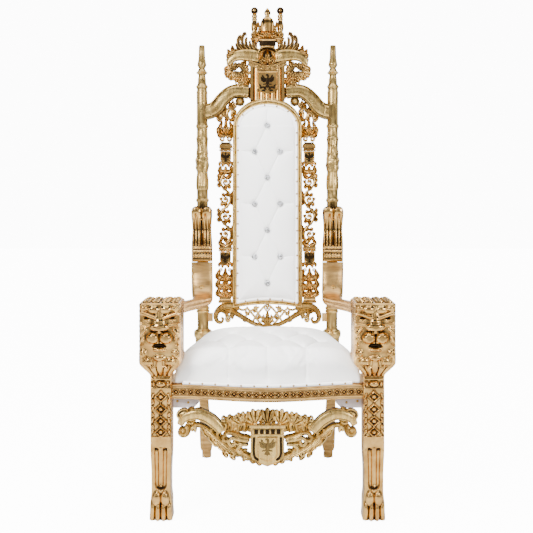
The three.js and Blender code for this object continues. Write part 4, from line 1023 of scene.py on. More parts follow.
class ThroneSeatFrame(bpy.types.Operator):
    """The seat's rails and rear legs, with screws in the corner blocks"""

    bl_idname = "throne.seat_frame"
    bl_label = "Seat frame and rear legs"

    def execute(self, context):
        made = materials()
        piece(
            "seat_rail_carved", [seat_rail()], made["satin_gold_carved"], SATIN_SLOT, ("seat_rail_front",),
            crease=50
        )
        pair("rear_leg_shaped", [rear_leg()], made["satin_gold_carved"], SATIN_SLOT, ("rear_leg",))
        finish_nodes("satin_gold_timber", "seat_rail_back", "seat_rail_left", "seat_rail_right")
        finish_nodes("raw_board", "corner_block_left", "corner_block_right")
        finish_nodes(
            "glide_plastic", "front_glide_left", "front_glide_right", "rear_glide_left", "rear_glide_right"
        )
        low, high = corners_of("corner_block_right")
        spots = [
            (high[0] - 14, low[1], mix(low[2], high[2], 0.62)), (high[0] - 50, low[1], mix(low[2], high[2], 0.5))
        ]
        screws = [screw(spot) for spot in spots]
        pair("block_screws", screws, made["brass"], "brass_nail")
        return {"FINISHED"}


# The arms

ARM_Z = 672.0
SWEEP_Z = 664.0
SWEEP_RADIUS = 92.0
POST_RADIUS = 22.0
PLUME_HALF = 41.0
PLUME_LOW, PLUME_HIGH = 359.0, 577.0  # in the back's frame


def post_x(z):
    """The middle of the right post at height z."""
    return POST_X + (z - RAIL_TOP) * math.tan(POST_SPLAY)


def post_front(z):
    """The front of the posts at height z."""
    return POST_Y - POST_RADIUS + (z - RAIL_TOP) * math.tan(BACK_LEAN) - 0.6


def arm_rail():
    """The rail from the lion's head to the post, which sweeps up into a broad band: rings square to a path,
    with a section that changes from a grooved moulding to a thin curved board."""
    top = SWEEP_Z + SWEEP_RADIUS
    sweep_y = post_front(top) - 15
    eighth = SWEEP_RADIUS * (1 - math.sqrt(0.5))
    points = [
        (LEG_X, HEAD_BACK + 0.8, ARM_Z),
        (mix(LEG_X, POST_X, 0.5), mix(HEAD_BACK, sweep_y - SWEEP_RADIUS, 0.5), ARM_Z - 4),
        (POST_X, sweep_y - SWEEP_RADIUS, SWEEP_Z), (POST_X, sweep_y - eighth, SWEEP_Z + eighth),
        (post_x(top), post_front(top) - 15, top), (post_x(806), post_front(806) - 15, 806),
    ]
    steps = 90
    path = spline(points, steps)
    tangent = np.gradient(path, axis=0)
    across = np.array([1.0, 0, 0]) * np.ones((steps, 1))
    out = np.cross(across, tangent)
    out /= np.linalg.norm(out, axis=1, keepdims=True)
    t = np.linspace(0, 1, steps)[:, None]
    broad = smooth(0.42, 0.8, t)
    angle = all_round(64)
    power = mix(0.55, 0.42, broad)
    a = squared_off(np.sin(angle), power)
    o = squared_off(np.cos(angle), power)
    groove = (0.2 * bell(o - 0.02, 0.2) + 0.07 * bell(o + 0.62, 0.1)) * (np.abs(a) > 0.72)
    a = a * (1 - groove * (1 - broad))
    half_width = mix(24.0, 41.0, broad)
    half_height = mix(19.0, 14.0, broad)
    crown = 3.0 * broad * (1 - a**2) * (o > 0)
    rings = path[:, None, :] + (half_width * a)[..., None] * across[:, None, :]
    rings = rings + (half_height * o + crown)[..., None] * out[:, None, :]
    # Painted shade in the grooves of the moulding.
    return shell(rings, np.clip(0.85 - 2.2 * groove * (1 - broad), 0, 1))


# Bands at the plume's foot: how far up, half height, how far out, and half waves of beads across
CORD_BANDS = ((7, 6, 4.0, 0), (24, 9, 6.5, 7), (42, 6, 3.6, 9), (56, 6, 5.5, 6))


def arm_plume():
    """The carved upper end of the arm in front of the post: cord bands, ribs, and two lobes that curl over."""

    def half_width(z):
        waist = 3.5 * np.sin(np.pi * smooth(PLUME_LOW + 60, PLUME_HIGH - 20, z))
        return PLUME_HALF - 1.0 - waist

    def height(x, z):
        low = PLUME_LOW
        rise = 24 + 0 * x
        for up, reach, out, beads in CORD_BANDS:
            bulge = hump((z - (low + up)) / reach)
            cut = 0.55 + 0.45 * np.abs(np.cos(np.pi * beads * x / (2 * PLUME_HALF))) if beads else 1.0
            rise = np.maximum(rise, 24 + out * bulge * cut)
        ribs_on = smooth(low + 60, low + 66, z) * smooth(PLUME_HIGH - 36, PLUME_HIGH - 84, z)
        ribs = np.abs(np.sin(np.pi * (x + PLUME_HALF) / (PLUME_HALF / 3.5))) ** 0.8
        rise = rise + 5.5 * ribs * ribs_on
        lobes_on = smooth(PLUME_HIGH - 120, PLUME_HIGH - 40, z)
        lobe = hump((np.abs(x) - 20) / 20.5)
        curl = 15 * smooth(PLUME_HIGH - 78, PLUME_HIGH - 18, z) ** 1.4
        hollow = -5.0 * bell(z - PLUME_HIGH + 88, 20) * lobe
        rise = rise + lobes_on * (9 * lobe + curl) + hollow
        notch = ridge(x, z, (0, PLUME_HIGH - 150), (0, PLUME_HIGH + 4), 4.0, 8.0)
        edge = smooth(0, 5, half_width(z) - np.abs(x))
        over = smooth(PLUME_HIGH, PLUME_HIGH - 9, z)
        return (rise - notch) * mix(0.72, 1, edge) * mix(0.55, 1, over)

    def lowered(x, z):
        lobe = hump((np.abs(x) - 20) / 21)
        return -19 * (1 - lobe) * smooth(PLUME_HIGH - 70, PLUME_HIGH, z)

    def tone(x, z, rise):
        return raised(rise, 5, 2.6, 0.6)

    board = panel(np.linspace(PLUME_LOW, PLUME_HIGH, 110), half_width, height, 77, tone=tone, lowered=lowered)
    tip = leaf((0, PLUME_HIGH - 58, 31), (0, PLUME_HIGH - 6, 36), 7, 9, bend=0, curl=3)
    return leaning(splayed(moved([board, tip], y=-POST_RADIUS - 0.6)))


class ThroneArms(bpy.types.Operator):
    """Two moulded arms that sweep up the posts into fluted plumes, with their bolt caps"""

    bl_idname = "throne.arms"
    bl_label = "Arms"

    def execute(self, context):
        made = materials()
        pair("arm_rail", [arm_rail()], made["satin_gold_carved"], SATIN_SLOT, ("arm",), crease=50)
        pair("arm_plume", arm_plume(), made["gold_leaf"], GOLD_SLOT, crease=55)
        low, high = corners_of("bolt_cap_right")
        middle = (low + high) / 2
        profile = [(10.5, 0), (10.5, 2.5), (9.2, 4.6), (6.4, 4.2), (5.6, 6.2), (2.5, 7.8), (0.6, 8)]
        cap = facing_front(turned(profile, sides=28), (middle[0], high[1], middle[2]))
        pair("bolt_cap_domed", [cap], made["soft_gold"], GOLD_SLOT, ("bolt_cap",))
        return {"FINISHED"}


# The posts

POST_PROFILE = [
    (30, 0.6), (30, 56), (31.5, 61), (35, 67), (36.3, 76), (35, 86), (31, 91), (27, 93), (22, 98),
    (22, 157), (25, 160), (26, 164), (25, 168), (22.6, 170), (25, 172), (26, 176), (25, 180), (22, 183),
    (22, 595), (25.4, 599), (26, 603), (25.4, 607), (22, 611), (22, 642), (24.5, 648), (25.5, 660),
    (24, 690), (22, 714), (23.5, 722), (26.5, 736), (26, 752), (26.5, 766), (23, 780), (23.6, 790),
    (21, 815), (22.6, 842), (24.4, 852), (22, 858), (22, 876), (21, 882), (22, 888), (22, 893),
    (25, 897), (25.5, 901), (24.6, 905), (22, 909), (22, 985), (20.6, 989), (22, 993), (22, 1030),
    (22.6, 1036), (20, 1049), (21, 1054), (24.4, 1061), (20.4, 1067), (17.4, 1073), (16.7, 1091),
    (13.4, 1106), (16, 1111), (23.8, 1117), (18, 1123), (11.8, 1135), (15, 1141), (18.7, 1148),
    (17.4, 1158), (14, 1174), (13, 1200), (12.2, 1225), (10.5, 1229), (3, 1229.8),
]


def post_carving(angle, z):
    """Leaves round the middle of the post: pointed waves below, a knotted ribbon, and leaves above it."""
    low = smooth(644, 650, z) * smooth(722, 714, z)
    high = smooth(782, 790, z) * smooth(853, 846, z)
    lift = (z - 644) / 78
    wave = np.abs(np.cos(3 * angle + 0.9 * np.sin(np.pi * lift)))
    petals = 2.6 * (wave**0.6 - 0.75)
    tips = 2.8 * (np.abs(np.sin(3 * angle + 0.5 * np.sin((z - 782) / 11.0))) ** 0.6 - 0.72)
    knot = smooth(722, 728, z) * smooth(780, 774, z)
    ribbon = 2.4 * np.sin(2 * angle + (z - 722) / 9.0) * np.sin(3 * angle - (z - 722) / 12.0)
    return low * petals + high * tips + knot * ribbon


def post():
    """The right post turned round its own line, cut level on the seat frame."""
    profile = np.array(POST_PROFILE, float)
    fine = np.concatenate([profile[:, 1], np.linspace(642, 856, 72), [1066, 1112, 1122], np.linspace(995, 1029, 3)])
    z = np.unique(np.round(fine, 2))
    rings = np.stack([np.interp(z, profile[:, 1], profile[:, 0]), z], axis=-1)
    p, q, t, r = turned(rings, sides=44, waves=post_carving)
    carved = smooth(640, 646, p[:, 2]) * smooth(858, 852, p[:, 2])
    r = np.clip(mix(np.clip(r + 0.1, 0.45, 1), r, carved), 0, 1)
    foot = p[:, 2] < 1
    p[foot, 2] = 0.6 + p[foot, 1] * math.tan(BACK_LEAN)
    return leaning(splayed([(p, q, t, r)]))


class ThronePosts(bpy.types.Operator):
    """The back's turned posts"""

    bl_idname = "throne.posts"
    bl_label = "Posts"

    def execute(self, context):
        pair("post_turned", post(), materials()["soft_gold"], GOLD_SLOT, ("back_post",), crease=50)
        finish_nodes("satin_gold_timber", "post_spacer_left", "post_spacer_right")
        return {"FINISHED"}


# The arched frame and the pad in it

FRAME_HALF = 138.5
FRAME_BAR = 16.5
FRAME_BOTTOM, FRAME_RISE = 176.0, 15.0
ARCH_SPRING, ARCH_TOP, ARCH_BAR = 896.0, 1014.5, 27.0
PAD_HALF = FRAME_HALF - FRAME_BAR - 0.3
PAD_BOTTOM = FRAME_BOTTOM + FRAME_BAR + 0.3
PAD_ARCH = ARCH_TOP - ARCH_BAR - 0.3 - ARCH_SPRING  # rise of the pad's arch
PAD_BACK = 14.0
BORDER = 10.0  # width of the pad's nailed border
STONE_RADIUS, STONE_OUT = 10.2, 27.5
NAIL_INSET, NAIL_OUT = 5.2, 14.4


def arch_path(inset, arch_inset, bottom, count=(64, 60, 26)):
    """Points round the arched panel, with its bottom bowed upwards: a half ellipse, two sides, a parabola."""
    half, top = FRAME_HALF - inset, ARCH_TOP - arch_inset
    arch, side, foot = count
    turn = np.linspace(0, np.pi, arch)
    over = np.stack([half * np.cos(turn), ARCH_SPRING + (top - ARCH_SPRING) * np.sin(turn)], axis=-1)
    down = np.linspace(ARCH_SPRING, bottom, side + 2)[1:-1]
    left = np.stack([-half * np.ones(side), down], axis=-1)
    right = np.stack([half * np.ones(side), down[::-1]], axis=-1)
    share = np.linspace(-1, 1, foot)
    below = np.stack([half * share, bottom + FRAME_RISE * (1 - share**2)], axis=-1)
    line = np.concatenate([over, left, below, right])
    return np.stack([line[:, 0], np.zeros(len(line)), line[:, 1]], axis=-1)


def frame_moulding():
    """The frame as a section between its inner and its outer line: a bead, a groove and a larger bead."""
    outer = arch_path(0, 0, FRAME_BOTTOM)
    inner = arch_path(FRAME_BAR, ARCH_BAR, FRAME_BOTTOM + FRAME_BAR)
    # The third column is the relief, low in the groove: painted shade there.
    section = np.array(
        [(0, -13.9, 0.6), (0, 11, 0.8), (0.06, 14.5, 0.95), (0.17, 16.5, 1), (0.3, 15.6, 0.9), (0.37, 13.2, 0.2)]
        + [(0.43, 13.4, 0.3), (0.52, 17.4, 0.9), (0.66, 19.6, 1), (0.8, 19.4, 1), (0.92, 17, 0.9), (1, 12.5, 0.5)]
        + [(1, -13.9, 0.6)]
    )
    share = section[:, 0][None, :, None]
    rings = mix(inner[:, None, :], outer[:, None, :], share)
    rings[..., 1] -= section[:, 1]
    return shell(rings, section[:, 2], looped=True)


BUTTON_ROWS, BUTTON_TOP, BUTTON_PITCH, BUTTON_SPREAD = 7, 899.0, 104.0, 50.5


def button_places():
    """The buttons' (x, z) in the back's frame: rows of one and two by turns."""
    rows = []
    for row in range(BUTTON_ROWS):
        z = BUTTON_TOP - row * BUTTON_PITCH
        rows.append([(-BUTTON_SPREAD, z), (BUTTON_SPREAD, z)] if row % 2 else [(0.0, z)])
    return rows


def seam_lines():
    """The seams of the back pad: between neighbouring buttons, and out to the border."""
    rows = button_places()
    lines = [(a, b) for upper, lower in zip(rows, rows[1:]) for a in upper for b in lower]
    for row in rows[1::2]:
        lines += [(spot, (math.copysign(PAD_HALF - BORDER, spot[0]), spot[1] + 3)) for spot in row]
    lines += [
        (rows[0][0], (0, ARCH_SPRING + PAD_ARCH - BORDER)), (rows[-1][0], (0, PAD_BOTTOM + FRAME_RISE + BORDER))
    ]
    return lines


def back_pad(depth):
    """The buttoned pad: a swelled panel, less a fine crease and a broad valley along each seam and a deep
    well at each button, inside a flat nailed border."""

    def half_width(z):
        rise = np.clip((z - ARCH_SPRING) / PAD_ARCH, 0, 1)
        return PAD_HALF * np.sqrt(np.clip(1 - rise**2, 0.0004, 1))

    def lowered(x, z):
        return FRAME_RISE * (1 - (x / PAD_HALF) ** 2) * smooth(PAD_BOTTOM + 190, PAD_BOTTOM, z)

    def height(x, z):
        place = z + lowered(x, z)
        above = np.clip((place - ARCH_SPRING) / PAD_ARCH, 0, 2)
        from_arch = (1 - np.hypot(x / PAD_HALF, above)) * PAD_ARCH
        from_side = PAD_HALF - np.abs(x)
        inside = np.minimum(np.where(above > 0, from_arch, from_side), z - PAD_BOTTOM)
        inside = np.clip(inside, 0, None)
        swell = 16 * (1 - np.exp(-np.clip(inside - BORDER, 0, None) / 17)) + 7 * smooth(10, 90, inside)
        border = 2.2 * hump((inside - BORDER / 2) / (BORDER / 2))
        rise = PAD_BACK + 13 + border + swell - 2.2 * bell(inside - BORDER, 1.4)
        near = np.minimum.reduce([from_line(x, place, a, b) for a, b in seam_lines()])
        held = smooth(BORDER, BORDER + 26, inside)
        rise = rise - held * (2.4 * bell(near, 1.8) + 5.0 * np.exp(-near / 14))
        for row in button_places():
            for spot in row:
                away = np.hypot(x - spot[0], place - spot[1])
                rise = rise - depth * (0.62 * bell(away, 12) + 0.38 * np.exp(-away / 24))
        return rise * smooth(-0.5, 1.0, inside + 0.6)

    # Painted shade: the relief falls in the seams and the button wells, and the vinyl darkens it.
    def tone(x, z, rise):
        return raised(rise, 5, 2.0, 0.95)

    low = np.linspace(PAD_BOTTOM, ARCH_SPRING, 250)
    turn = np.linspace(0, np.pi / 2, 46)[1:]
    levels = np.concatenate([low, ARCH_SPRING + PAD_ARCH * np.sin(turn)])
    return panel(levels, half_width, height, 101, tone=tone, lowered=lowered)


def gem(radius):
    """A cut stone facing the front: a table, a band of facets to the girdle, and a short back."""
    sides = 9
    angle = all_round(sides)
    rows = [
        (radius * 0.5, 6.2, 0.0), (radius * 0.8, 4.6, 0.5), (radius, 2.2, 0.0), (radius, 1.4, 0.0),
        (radius * 0.7, 0.0, 0.0)
    ]
    rings = [
        np.stack(
            [r * np.sin(angle + s * np.pi / sides), -out * np.ones(sides), r * np.cos(angle + s * np.pi / sides)],
            axis=-1,
        )
        for r, out, s in rows
    ]
    return shell(np.stack(rings), 1.0)


def gem_rim(radius):
    """A thin bright ring round a stone."""
    angle = all_round(28)
    turn = all_round(8)
    r = radius + 1.1 * np.cos(turn)
    ring = [r * np.sin(angle)[:, None], -(1.4 + 1.6 * np.sin(turn)) * np.ones((28, 1)), r * np.cos(angle)[:, None]]
    return shell(np.stack(ring, axis=-1), 0.9, looped=True)


def nail(x, z, radius, lift=0.0):
    """A domed nail on a board, a few dozen faces: three rings of a flattened half ball."""
    angle = all_round(9)
    rows = [(1.0, 0.0), (0.94, 0.32), (0.62, 0.62), (0.2, 0.75)]
    rings = [
        np.stack(
            [x + r * radius * np.sin(angle), -(lift + out * radius) * np.ones(9), z + r * radius * np.cos(angle)],
            axis=-1
        )
        for r, out in rows
    ]
    return shell(np.stack(rings), 0.9)


class ThroneBack(bpy.types.Operator):
    """The arched frame, its buttoned pad, crystal buttons and nails"""

    bl_idname = "throne.back"
    bl_label = "Back frame and pad"

    def execute(self, context):
        made, sizes = materials(), context.scene.throne_sizes
        piece("frame_moulding", leaning([frame_moulding()]), made["soft_gold"], GOLD_SLOT, ("back_frame",), 60)
        pad = back_pad(sizes.button_depth / MM)
        padded = piece(
            "back_pad_buttoned", leaning(moved(pad, y=PAD_BACK)), made["white_vinyl"], VINYL_SLOT, ("back_pad",), 80
        )
        spots = [spot for row in button_places() for spot in row]
        stones = [moved(gem(STONE_RADIUS), x, -STONE_OUT, z) for x, z in spots]
        nodes = [f"crystal_button_{k + 1}" for k in range(len(spots))]
        piece("crystal_stones", leaning(stones), made["cut_crystal"], "crystal", nodes, 3)
        rims = [moved(gem_rim(STONE_RADIUS), x, -STONE_OUT, z) for x, z in spots]
        piece("crystal_rims", leaning(rims), made["cut_crystal"], "crystal")
        small, pitch = sizes.nail_radius / MM, sizes.side_nail_pitch / MM
        line = arch_path(
            FRAME_BAR + NAIL_INSET, ARCH_BAR + NAIL_INSET, FRAME_BOTTOM + FRAME_BAR + NAIL_INSET, (200, 200, 90)
        )
        closed = np.vstack([line, line[:1]])
        run = np.concatenate([[0], np.cumsum(np.linalg.norm(np.diff(closed, axis=0), axis=1))])
        count = int(round(run[-1] / pitch))
        at = np.linspace(0, run[-1], count, endpoint=False) + pitch / 2
        x, z = (np.interp(at, run, closed[:, axis]) for axis in (0, 2))
        nails = [nail(a, b, small, NAIL_OUT) for a, b in zip(x, z)]
        piece("back_nails", leaning(nails), made["brass"], "brass_nail")
        return {"FINISHED"}


# The seat cushion

CUSHION_LOW = 447.3
CUSHION_TOP = 571.0
CUSHION_MESH, PREVIEW_MESH = 0.0062, 0.0058
PRESSURE, CLOTH_STEPS = 4, 20


def behind_legs(y):
    """0 between the front legs, 1 behind them."""
    return smooth(-196.0, -176.0, y)


def cushion_half_width(y):
    """Half the cushion's width: between the front legs, and out to the side rails behind them."""
    side = np.interp(y, [-240, 190], [331.0, 259.0])
    return mix(319.0, side, behind_legs(y))


def beside_heads(y, z):
    """The widest that the cushion may be: less at the height of the lions' heads than beside the legs."""
    wood = mix(LEG_HALF, HEAD_HALF, up_to_head(z))
    return LEG_X - wood + 5 + 200 * behind_legs(y)


def cushion_rings():
    """The unswelled cushion: sections from front to rear, each a superellipse from a flat base up to a
    crown, on a plan that bows forwards with the rail."""
    rear = corners_of("seat_cushion")[1][1] - 4
    front = RAIL_END_Y - 0.5
    t = np.linspace(0, 1, 90)
    y = mix(front, rear, 0.5 - 0.5 * np.cos(np.pi * t))
    depth_front = np.clip((y - front) / 58, 0, 1)
    depth_rear = np.clip((rear - y) / 40, 0, 1)
    rise = (1 - (1 - depth_front) ** 2.4) ** 0.5 * (1 - (1 - depth_rear) ** 2.6) ** 0.5
    rise = np.maximum(rise, 0.03)[:, None]
    angle = np.linspace(-np.pi / 2, np.pi / 2, 90)
    across = squared_off(np.sin(angle), 0.66)
    up = np.abs(np.cos(angle)) ** 0.42
    half = cushion_half_width(y)[:, None]
    x = half * across
    height = (CUSHION_TOP - CUSHION_LOW - 12.0) * mix(0.96, 1.0, 1 - across**2)
    z = CUSHION_LOW - 6.0 + (height + 6.0) * rise * up
    x = np.sign(x) * np.minimum(np.abs(x), beside_heads(y[:, None], z))
    bow = RAIL_BOW * np.cos(np.pi / 2 * np.clip(x / RAIL_REACH, -1, 1)) ** 2
    y = y[:, None] - bow * smooth(60, -260, y)[:, None]
    return shell(np.stack([x, y + 0 * x, z], axis=-1), 0.9)


def seat_tufts():
    """The tufts of the seat, (x, y): three staggered rows."""
    rows = [(-238.0, (-128.0, 0.0, 128.0)), (-112.0, (-190.0, -63.0, 63.0, 190.0)), (16.0, (-128.0, 0.0, 128.0))]
    return [[(x, y + SHIFT) for x in across] for y, across in rows]


def swell(made, limit):
    """Cloth under pressure fills the cushion out, and no point may move further than the limit."""
    start = points_of(made)
    cloth = made.modifiers.new("swell", "CLOTH")
    cloth.settings.use_pressure = True
    cloth.settings.uniform_pressure_force = PRESSURE
    cloth.settings.effector_weights.gravity = 0
    cloth.settings.quality = 4
    scene = bpy.context.scene
    for step in range(1, CLOTH_STEPS + 1):
        scene.frame_set(step)
    bake_modifiers(made)
    moved_to = points_of(made)
    scene.frame_set(1)
    shift = moved_to - start
    far = np.linalg.norm(shift, axis=1, keepdims=True)
    return start + shift * np.minimum(1, limit / np.maximum(far, 1e-9))


def bake_modifiers(made):
    """Puts the evaluated mesh in the place of the object's own, and drops its modifiers."""
    graph = bpy.context.evaluated_depsgraph_get()
    mesh = bpy.data.meshes.new_from_object(made.evaluated_get(graph))
    made.modifiers.clear()
    made.data = mesh


def points_of(made):
    """The mesh's points as an array."""
    points = np.empty(3 * len(made.data.vertices), np.float32)
    made.data.vertices.foreach_get("co", points)
    return points.reshape(-1, 3).astype(float)


def tuft_seat(made, depth):
    """Draws the seat's top in at each tuft, with creases between neighbours and pleats down the front."""
    points = points_of(made) / MM
    x, y, z = points.T
    rows = seat_tufts()
    top = smooth(CUSHION_LOW + 55, CUSHION_LOW + 95, z)
    lines = [(a, b) for near, far in zip(rows, rows[1:]) for a in near for b in far if abs(a[0] - b[0]) < 70]
    crease = np.minimum.reduce([from_line(x, y, a, b) for a, b in lines])
    sink = 4.0 * bell(crease, 4.0) + 9.0 * np.exp(-crease / 22)
    well = 0 * x
    for row in rows:
        for spot in row:
            away = np.hypot(x - spot[0], y - spot[1])
            well = well + depth * (0.55 * bell(away, 13) + 0.45 * np.exp(-away / 30))
    inwards = 0 * x
    for spot in rows[0]:
        fall = smooth(spot[1] + 10, spot[1] - 18, y)
        inwards = np.maximum(
            inwards, fall * (4.5 * bell(x - spot[0], 3.6) + 8.0 * np.exp(-np.abs(x - spot[0]) / 22))
        )
    low_fade = smooth(CUSHION_LOW + 4, CUSHION_LOW + 28, z)
    points[:, 2] -= top * (sink + well) + 0.5 * inwards * top
    points[:, 1] += inwards * low_fade * (1 - 0.5 * top)
    # The relief falls in the creases, the tuft wells and the front pleats, where the vinyl paints shade.
    folds = 0.6 * bell(crease, 3) + well / (1.6 * depth)
    relief = np.clip(0.95 - top * folds - 0.55 * np.clip(inwards / 5 - 0.5, 0, 1), 0, 1)
    made.data.vertices.foreach_set("co", (points * MM).astype(np.float32).ravel())
    stored = made.data.attributes.get("relief") or made.data.attributes.new("relief", "FLOAT", "POINT")
    stored.data.foreach_set("value", relief.astype(np.float32))
    made.data.update()


def seat_piping(radius):
    """The rolled vinyl edge along the foot of the cushion's front, bowed like the rail."""
    x = np.linspace(-RAIL_REACH + 34, RAIL_REACH - 34, 160)
    path = np.stack([x, rail_front(x) + 3.0, np.full(160, RAIL_TOP + radius * 0.9)], axis=-1)
    turn = all_round(12)
    rings = path[:, None, :] + radius * np.stack([0 * turn, -np.cos(turn), np.sin(turn)], axis=-1)
    return shell(rings, 0.95)


class ThroneCushion(bpy.types.Operator):
    """The tufted seat cushion, its rolled edge and the nails along it"""

    bl_idname = "throne.cushion"
    bl_label = "Seat cushion"

    def execute(self, context):
        made, sizes = materials(), context.scene.throne_sizes
        cushion = piece(
            "seat_cushion_tufted", [cushion_rings()], made["white_vinyl"], VINYL_SLOT, ("seat_cushion",), 80
        )
        even = cushion.modifiers.new("even", "REMESH")
        even.mode = "VOXEL"
        even.voxel_size = CUSHION_MESH
        bake_modifiers(cushion)
        places = swell(cushion, sizes.swell)
        low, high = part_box("seat_cushion")
        places[:, 2] = np.clip(places[:, 2], low.z, None)
        places[:, 1] = np.clip(places[:, 1], low.y - 0.004, high.y)
        cushion.data.vertices.foreach_set("co", places.astype(np.float32).ravel())
        fine = cushion.modifiers.new("fine", "SUBSURF")
        fine.levels = fine.render_levels = 1
        bake_modifiers(cushion)
        tuft_seat(cushion, sizes.tuft_depth / MM)
        cushion.data.shade_smooth()
        radius = sizes.piping_radius / MM
        piece("seat_piping", [seat_piping(radius)], made["white_vinyl"], VINYL_SLOT)
        pitch = sizes.front_nail_pitch / MM
        count = int(2 * (RAIL_REACH - 40) / pitch)
        across = (np.arange(count + 1) - count / 2) * pitch
        nails = [
            moved(nail(x, RAIL_TOP + radius, sizes.nail_radius / MM), y=rail_front(x) + 3.0 - radius + 0.6)
            for x in across
        ]
        piece("seat_nails", nails, made["brass"], "brass_nail")
        return {"FINISHED"}


# Carved boards. Each is many overlapping strokes, leaves and fans on the same flat back.

ALONG, NO_ENDS = (0.05, 0.05), (0, 0)
CREST_Y, MANTLING_Y, CREST_ARM_Y, SIDE_Y, LOW_RAIL_Y = 1.0, 0.5, 10.5, 8.0, 13.0  # backs of the boards
FINIAL_X, FINIAL_Y = 52.5, 16.3
STRETCHER_Y = -291 + SHIFT


def grooved_block():
    """The block under the crest: half round columns with painted shade in the grooves between them, and a band on
    each side.
    """
    low, high = 1003.0, 1160.0

    def half_width(z):
        return 70.0 + 4 * smooth(high - 10, high, z)

    def height(x, z):
        rise = 12.0 + 0 * x
        for middle in (0.0, 21.6, 43.2):
            rise = np.maximum(rise, 14 + 8 * hump((np.abs(x) - middle) / 10.4))
        band = smooth(54.5, 57, np.abs(x)) * smooth(half_width(z) + 0.5, half_width(z) - 2, np.abs(x))
        return rise + 8.5 * band

    def tone(x, z, rise):
        return np.clip(0.5 * (rise - 14.6), 0, 1)

    def lowered(x, z):
        return -32 * (1 - np.abs(x) / 74) * smooth(high - 60, high, z)

    return panel(np.linspace(low, high, 50), half_width, height, 141, tone=tone, lowered=lowered)


# Half of a spread eagle, as paths of (x, z) with a half width; the first three aren't mirrored
EAGLE = [
    (4.6, [(0, 11), (0.6, 6), (0.4, 0), (0, -10)]), (2.8, [(0.5, 9), (1.8, 16), (-1.5, 18.6), (-5, 16.4)]),
    (2.8, [(0, -8), (0, -14), (0, -19)]), (2.6, [(2, 8), (8, 8), (12, 13), (14.5, 19)]),
    (2.4, [(3, 5), (9, 3), (15, 8), (18.5, 14)]), (2.2, [(3, 2), (8, -1), (14, 2), (18, 8)]),
    (1.6, [(1.5, -4), (6, -8), (9, -7), (12, -10)]), (2.0, [(0, -8), (4, -14), (6, -18)]),
]


def eagle(x, z, size, lift, tone):
    """A plain spread eagle: a body, a turned head, three feathers on each side, legs and a tail."""
    made = []
    for number, (half, points) in enumerate(EAGLE):
        for side in (1, -1) if number > 2 else (1,):
            path = [(x + side * a * size, z + b * size, lift) for a, b in points]
            made.append(stroke(path, half * size, 2.2, steps=9, ends=(0.2, 0.3)))
    return tinted(made, tone)


def shield_board(half, top, side, tip, rise, rim, rim_rise, field=0.62, columns=61, rows=60):
    """A shield from a flat top, down straight sides, to a rounded point: a raised border round its field."""
    levels = [tip, mix(side, tip, 0.75), mix(side, tip, 0.4), side, top]
    widths = [0.4, half * 0.45, half * 0.86, half, half]

    def inside(x, z):
        return np.minimum(np.interp(z, levels, widths) - np.abs(x), top - z)

    def height(x, z):
        return rise + rim_rise * hump((inside(x, z) - rim / 2) / (rim / 2))

    def tone(x, z, level):
        return np.where(inside(x, z) < rim, np.clip(0.4 + (level - rise) / max(rim_rise, 1), 0, 1), field)

    return panel(np.linspace(tip, top, rows), lambda z: np.interp(z, levels, widths), height, columns, tone=tone)


SATIN_ROLL = np.array(
    [(-1, 0, 0), (-1, 0.5, 0.1), (-0.95, 0.7, 0.5), (-0.85, 0.84, 0.95), (-0.45, 0.96, 1), (0, 1, 1)]
    + [(0.45, 0.96, 1), (0.85, 0.84, 0.95), (0.95, 0.7, 0.5), (1, 0.5, 0.1), (1, 0, 0)]
)


def mantling():
    """The broad smooth roll of the mantling, out from the boss and down round its end."""
    path = [(30, 1178), (70, 1186), (110, 1187), (138, 1176), (153, 1156), (151, 1140)]
    return stroke(path, [22, 25, 23, 19, 14, 9], [21, 26, 25, 23, 20, 16], SATIN_ROLL, steps=40, ends=(0.03, 0.12))


